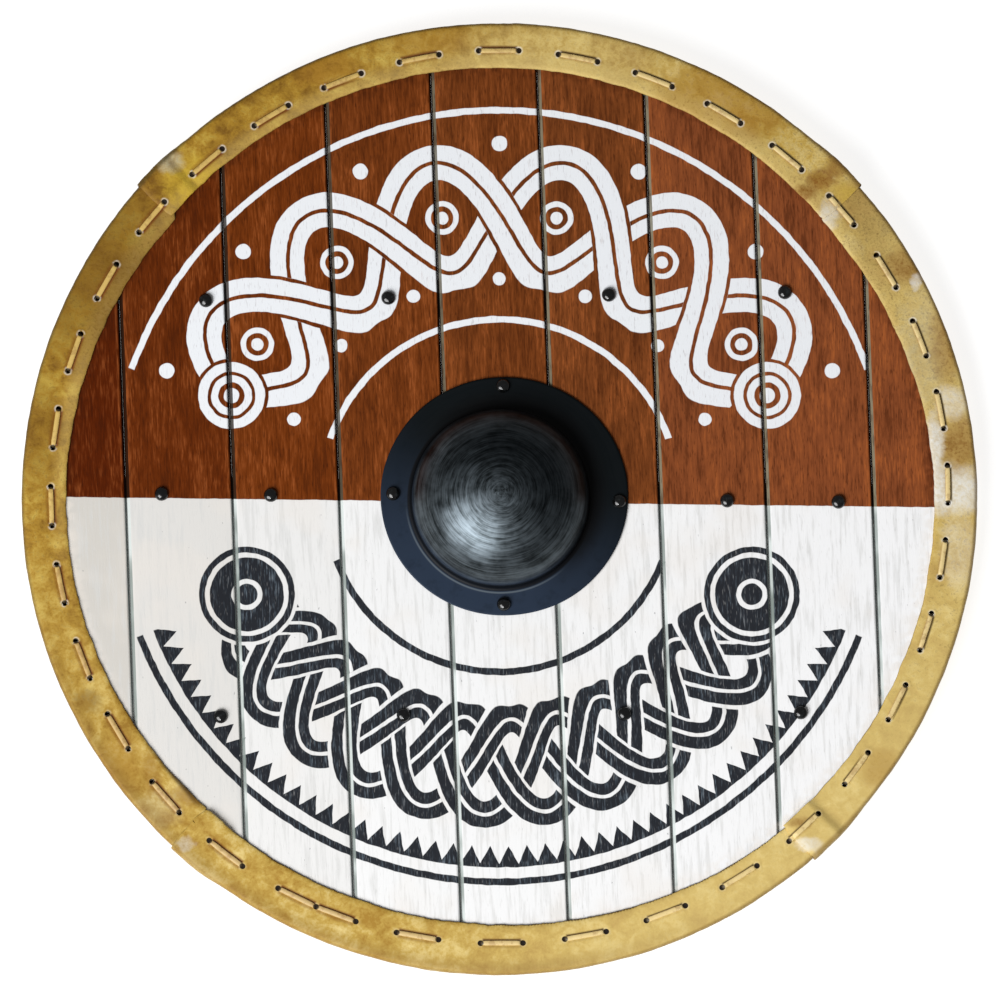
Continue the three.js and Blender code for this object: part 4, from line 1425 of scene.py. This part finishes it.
def tail_cutter(sizes):
    """Recesses for the rivet tails in the undersides of the bars."""
    places = []
    highest = 0.0
    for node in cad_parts:
        if node.startswith("rivet_"):
            centre, half = node_box(node)
            if centre.z - half.z < BAR_TOP / 2:
                places.append((centre.x, centre.y, 0.0, 5.7, 5.7))
                highest = centre.z - half.z + 2.5
    return prism("tail_cutter", places, -3.0, highest, 32)


# Operators

class SHIELD_OT_boards(bpy.types.Operator):
    """Lay the boards, with the hand hole and the lace holes cut through them"""

    bl_idname = "shield.boards"
    bl_label = "Boards"

    def execute(self, context):
        sizes = context.scene.shield_sizes
        material = painted_wood(sizes, context.scene.shield_colours)
        centre = dome_centre()
        hole = sizes.mm("hand_hole")
        hand_cutter = prism("hand_cutter", [(centre.x, centre.y, 0.0, hole, hole)], 10, 40, 128)
        hole_cutter = lace_hole_cutter(sizes, 10, 40)
        middle = BOARD_COUNT // 2
        for index in range(BOARD_COUNT):
            for part in ("upper", "lower") if index == middle else ("",):
                piece = board(sizes, index, part)
                carve(piece, hole_cutter)
                if abs(index - middle) <= 1:
                    carve(piece, hand_cutter)
                node = f"plank_{index + 1}" + (f"_{part}" if part else "")
                dress(piece, material, node, crease=30)
        drop(hand_cutter)
        drop(hole_cutter)
        return {"FINISHED"}


class SHIELD_OT_rim(bpy.types.Operator):
    """Fold the four strips of rawhide over the edge and punch them for the lace"""

    bl_idname = "shield.rim"
    bl_label = "Rawhide rim"

    def execute(self, context):
        sizes = context.scene.shield_sizes
        material = rawhide(sizes, context.scene.shield_colours)
        cutter = lace_hole_cutter(sizes, 5, 45)
        for strip in RIM_STRIPS:
            rings = []
            start, end = strip_span(sizes, strip)
            for angle in strip_stations(sizes, strip):
                outward, inward = strip_section(sizes, strip, angle)
                ring = []
                for radius, height in outward + inward:
                    depth = (rim_radius(sizes) - radius) / sizes.mm("rim_cover")
                    ragged = 1.3 * ripple(9, radius, strip["span"][0]) + 2.2 * math.sin(depth * 2.6)
                    near_end = math.exp(-(end - angle) * radius / 9) - math.exp(-(angle - start) * radius / 9)
                    leaning = angle + ragged * near_end / radius * 0.8
                    ring.append((radius * math.cos(leaning), radius * math.sin(leaning), height))
                rings.append(ring)
            points = [point for ring in reversed(rings) for point in ring]
            piece = add_piece(f"rawhide_{strip['name']}", points, skin_faces(len(rings), len(rings[0])))
            carve(piece, cutter)
            dress(piece, material, f"rim_strip_{strip['name']}", crease=45)
        drop(cutter)
        return {"FINISHED"}


class SHIELD_OT_lace(bpy.types.Operator):
    """Sew the rim with one lace, knotted behind"""

    bl_idname = "shield.lace"
    bl_label = "Lace"

    def execute(self, context):
        sizes = context.scene.shield_sizes
        path = lace_path(sizes)
        points, faces = swept(path, sizes.mm("lace_width"), sizes.mm("lace_thickness"))
        centre = hole_place(sizes, 0)
        centre.z = LACE_LOW + 2.8
        knot_points, knot_faces = knot(centre, hole_angle(sizes, 0) + math.pi / 2)
        first = len(points)
        points = points + knot_points
        faces = faces + [tuple(first + corner for corner in face) for face in knot_faces]
        piece = add_piece("sewn_lace", points, faces)
        dress(piece, lace_hide(sizes, context.scene.shield_colours), "lace", crease=60)
        return {"FINISHED"}


class SHIELD_OT_boss(bpy.types.Operator):
    """Raise the iron boss, a hollow dome on its flange"""

    bl_idname = "shield.boss"
    bl_label = "Boss"

    def execute(self, context):
        sizes = context.scene.shield_sizes
        points, faces = boss_skin(sizes)
        piece = add_piece("iron_boss", points, faces)
        dress(piece, boss_iron(sizes, context.scene.shield_colours), "boss", crease=50)
        return {"FINISHED"}


class SHIELD_OT_rivets(bpy.types.Operator):
    """Set the rivets, heads in front and tails clenched behind"""

    bl_idname = "shield.rivets"
    bl_label = "Rivets"

    def execute(self, context):
        sizes = context.scene.shield_sizes
        material = rivet_iron(context.scene.shield_colours)
        rivets = sorted(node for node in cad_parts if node.startswith("rivet_"))
        for number, node in enumerate(rivets):
            points, faces = rivet_skin(sizes, node, number)
            piece = add_piece(node.replace("rivet_", "forged_rivet_"), points, faces)
            dress(piece, material, node, crease=50)
        return {"FINISHED"}


class SHIELD_OT_bars(bpy.types.Operator):
    """Shape the two battens and the grip behind the boards"""

    bl_idname = "shield.bars"
    bl_label = "Battens and grip"

    def execute(self, context):
        sizes = context.scene.shield_sizes
        material = bare_bars(sizes, context.scene.shield_colours)
        cutter = tail_cutter(sizes)
        names = {"batten_upper": "upper_batten", "batten_lower": "lower_batten", "grip_bar": "grip"}
        for node, name in names.items():
            points, faces = bar_skin(sizes, node, node == "grip_bar")
            piece = add_piece(name, points, faces)
            carve(piece, cutter)
            dress(piece, material, node, crease=40)
        drop(cutter)
        return {"FINISHED"}


class SHIELD_OT_stage(bpy.types.Operator):
    """Set the floor, the soft lights, the sky and the camera"""

    bl_idname = "shield.stage"
    bl_label = "Stage"

    def execute(self, context):
        scene = context.scene
        reach = 60000
        corners = [(-reach, -reach, 0), (reach, -reach, 0), (reach, reach, 0), (-reach, reach, 0)]
        floor = add_piece("floor", corners, [(0, 1, 2, 3)])
        floor.data.materials.append(floor_finish(scene.shield_colours))

        world = bpy.data.worlds.new("studio")
        scene.world = world
        world.use_nodes = True
        sky = world.node_tree.nodes["Background"]
        sky.inputs["Color"].default_value = (1.0, 1.0, 1.0, 1.0)
        sky.inputs["Strength"].default_value = 0.16

        self.add_light("key", (-2.3, -2.5, 3.6), 4.0, 295)
        self.add_light("spark", (-0.5, -2.2, 2.4), 0.25, 8)

        tilt = math.radians(5.5)
        distance = 20.0
        picture_width = 0.8358
        target = Vector((0.0005, -0.0019, 0.03))
        lens = bpy.data.cameras.new("camera")
        lens.sensor_width = 36
        lens.lens = lens.sensor_width * distance / picture_width
        camera = bpy.data.objects.new("camera", lens)
        camera.location = target + distance * Vector((0, -math.sin(tilt), math.cos(tilt)))
        camera.rotation_euler = (tilt, 0, 0)
        scene.collection.objects.link(camera)
        scene.camera = camera
        scene.view_settings.view_transform = "Standard"
        return {"FINISHED"}

    def add_light(self, name, place, size, power):
        light = bpy.data.lights.new(name, "AREA")
        light.shape = "DISK"
        light.size = size
        light.energy = power
        lamp = bpy.data.objects.new(name, light)
        lamp.location = place
        lamp.rotation_euler = (-Vector(place)).to_track_quat("-Z", "Y").to_euler()
        lamp.visible_camera = False
        bpy.context.scene.collection.objects.link(lamp)


OPERATORS = (
    SHIELD_OT_stage,
    SHIELD_OT_boards,
    SHIELD_OT_rim,
    SHIELD_OT_lace,
    SHIELD_OT_boss,
    SHIELD_OT_rivets,
    SHIELD_OT_bars,
)


class SHIELD_PT_pieces(bpy.types.Panel):
    """Buttons for the shield's pieces, in the order they are made"""

    bl_label = "Round plank shield"
    bl_idname = "SHIELD_PT_pieces"
    bl_space_type = "VIEW_3D"
    bl_region_type = "UI"
    bl_category = "Shield"

    def draw(self, context):
        for operator in OPERATORS:
            self.layout.operator(operator.bl_idname)


CLASSES = (ShieldSizes, ShieldColours, *OPERATORS, SHIELD_PT_pieces)


def register():
    for item in CLASSES:
        bpy.utils.register_class(item)
    bpy.types.Scene.shield_sizes = PointerProperty(type=ShieldSizes)
    bpy.types.Scene.shield_colours = PointerProperty(type=ShieldColours)


def unregister():
    del bpy.types.Scene.shield_colours
    del bpy.types.Scene.shield_sizes
    for item in reversed(CLASSES):
        bpy.utils.unregister_class(item)


def main():
    register()
    for operator in OPERATORS:
        group, name = operator.bl_idname.split(".")
        getattr(getattr(bpy.ops, group), name)()


if __name__ == "__main__":
    main()
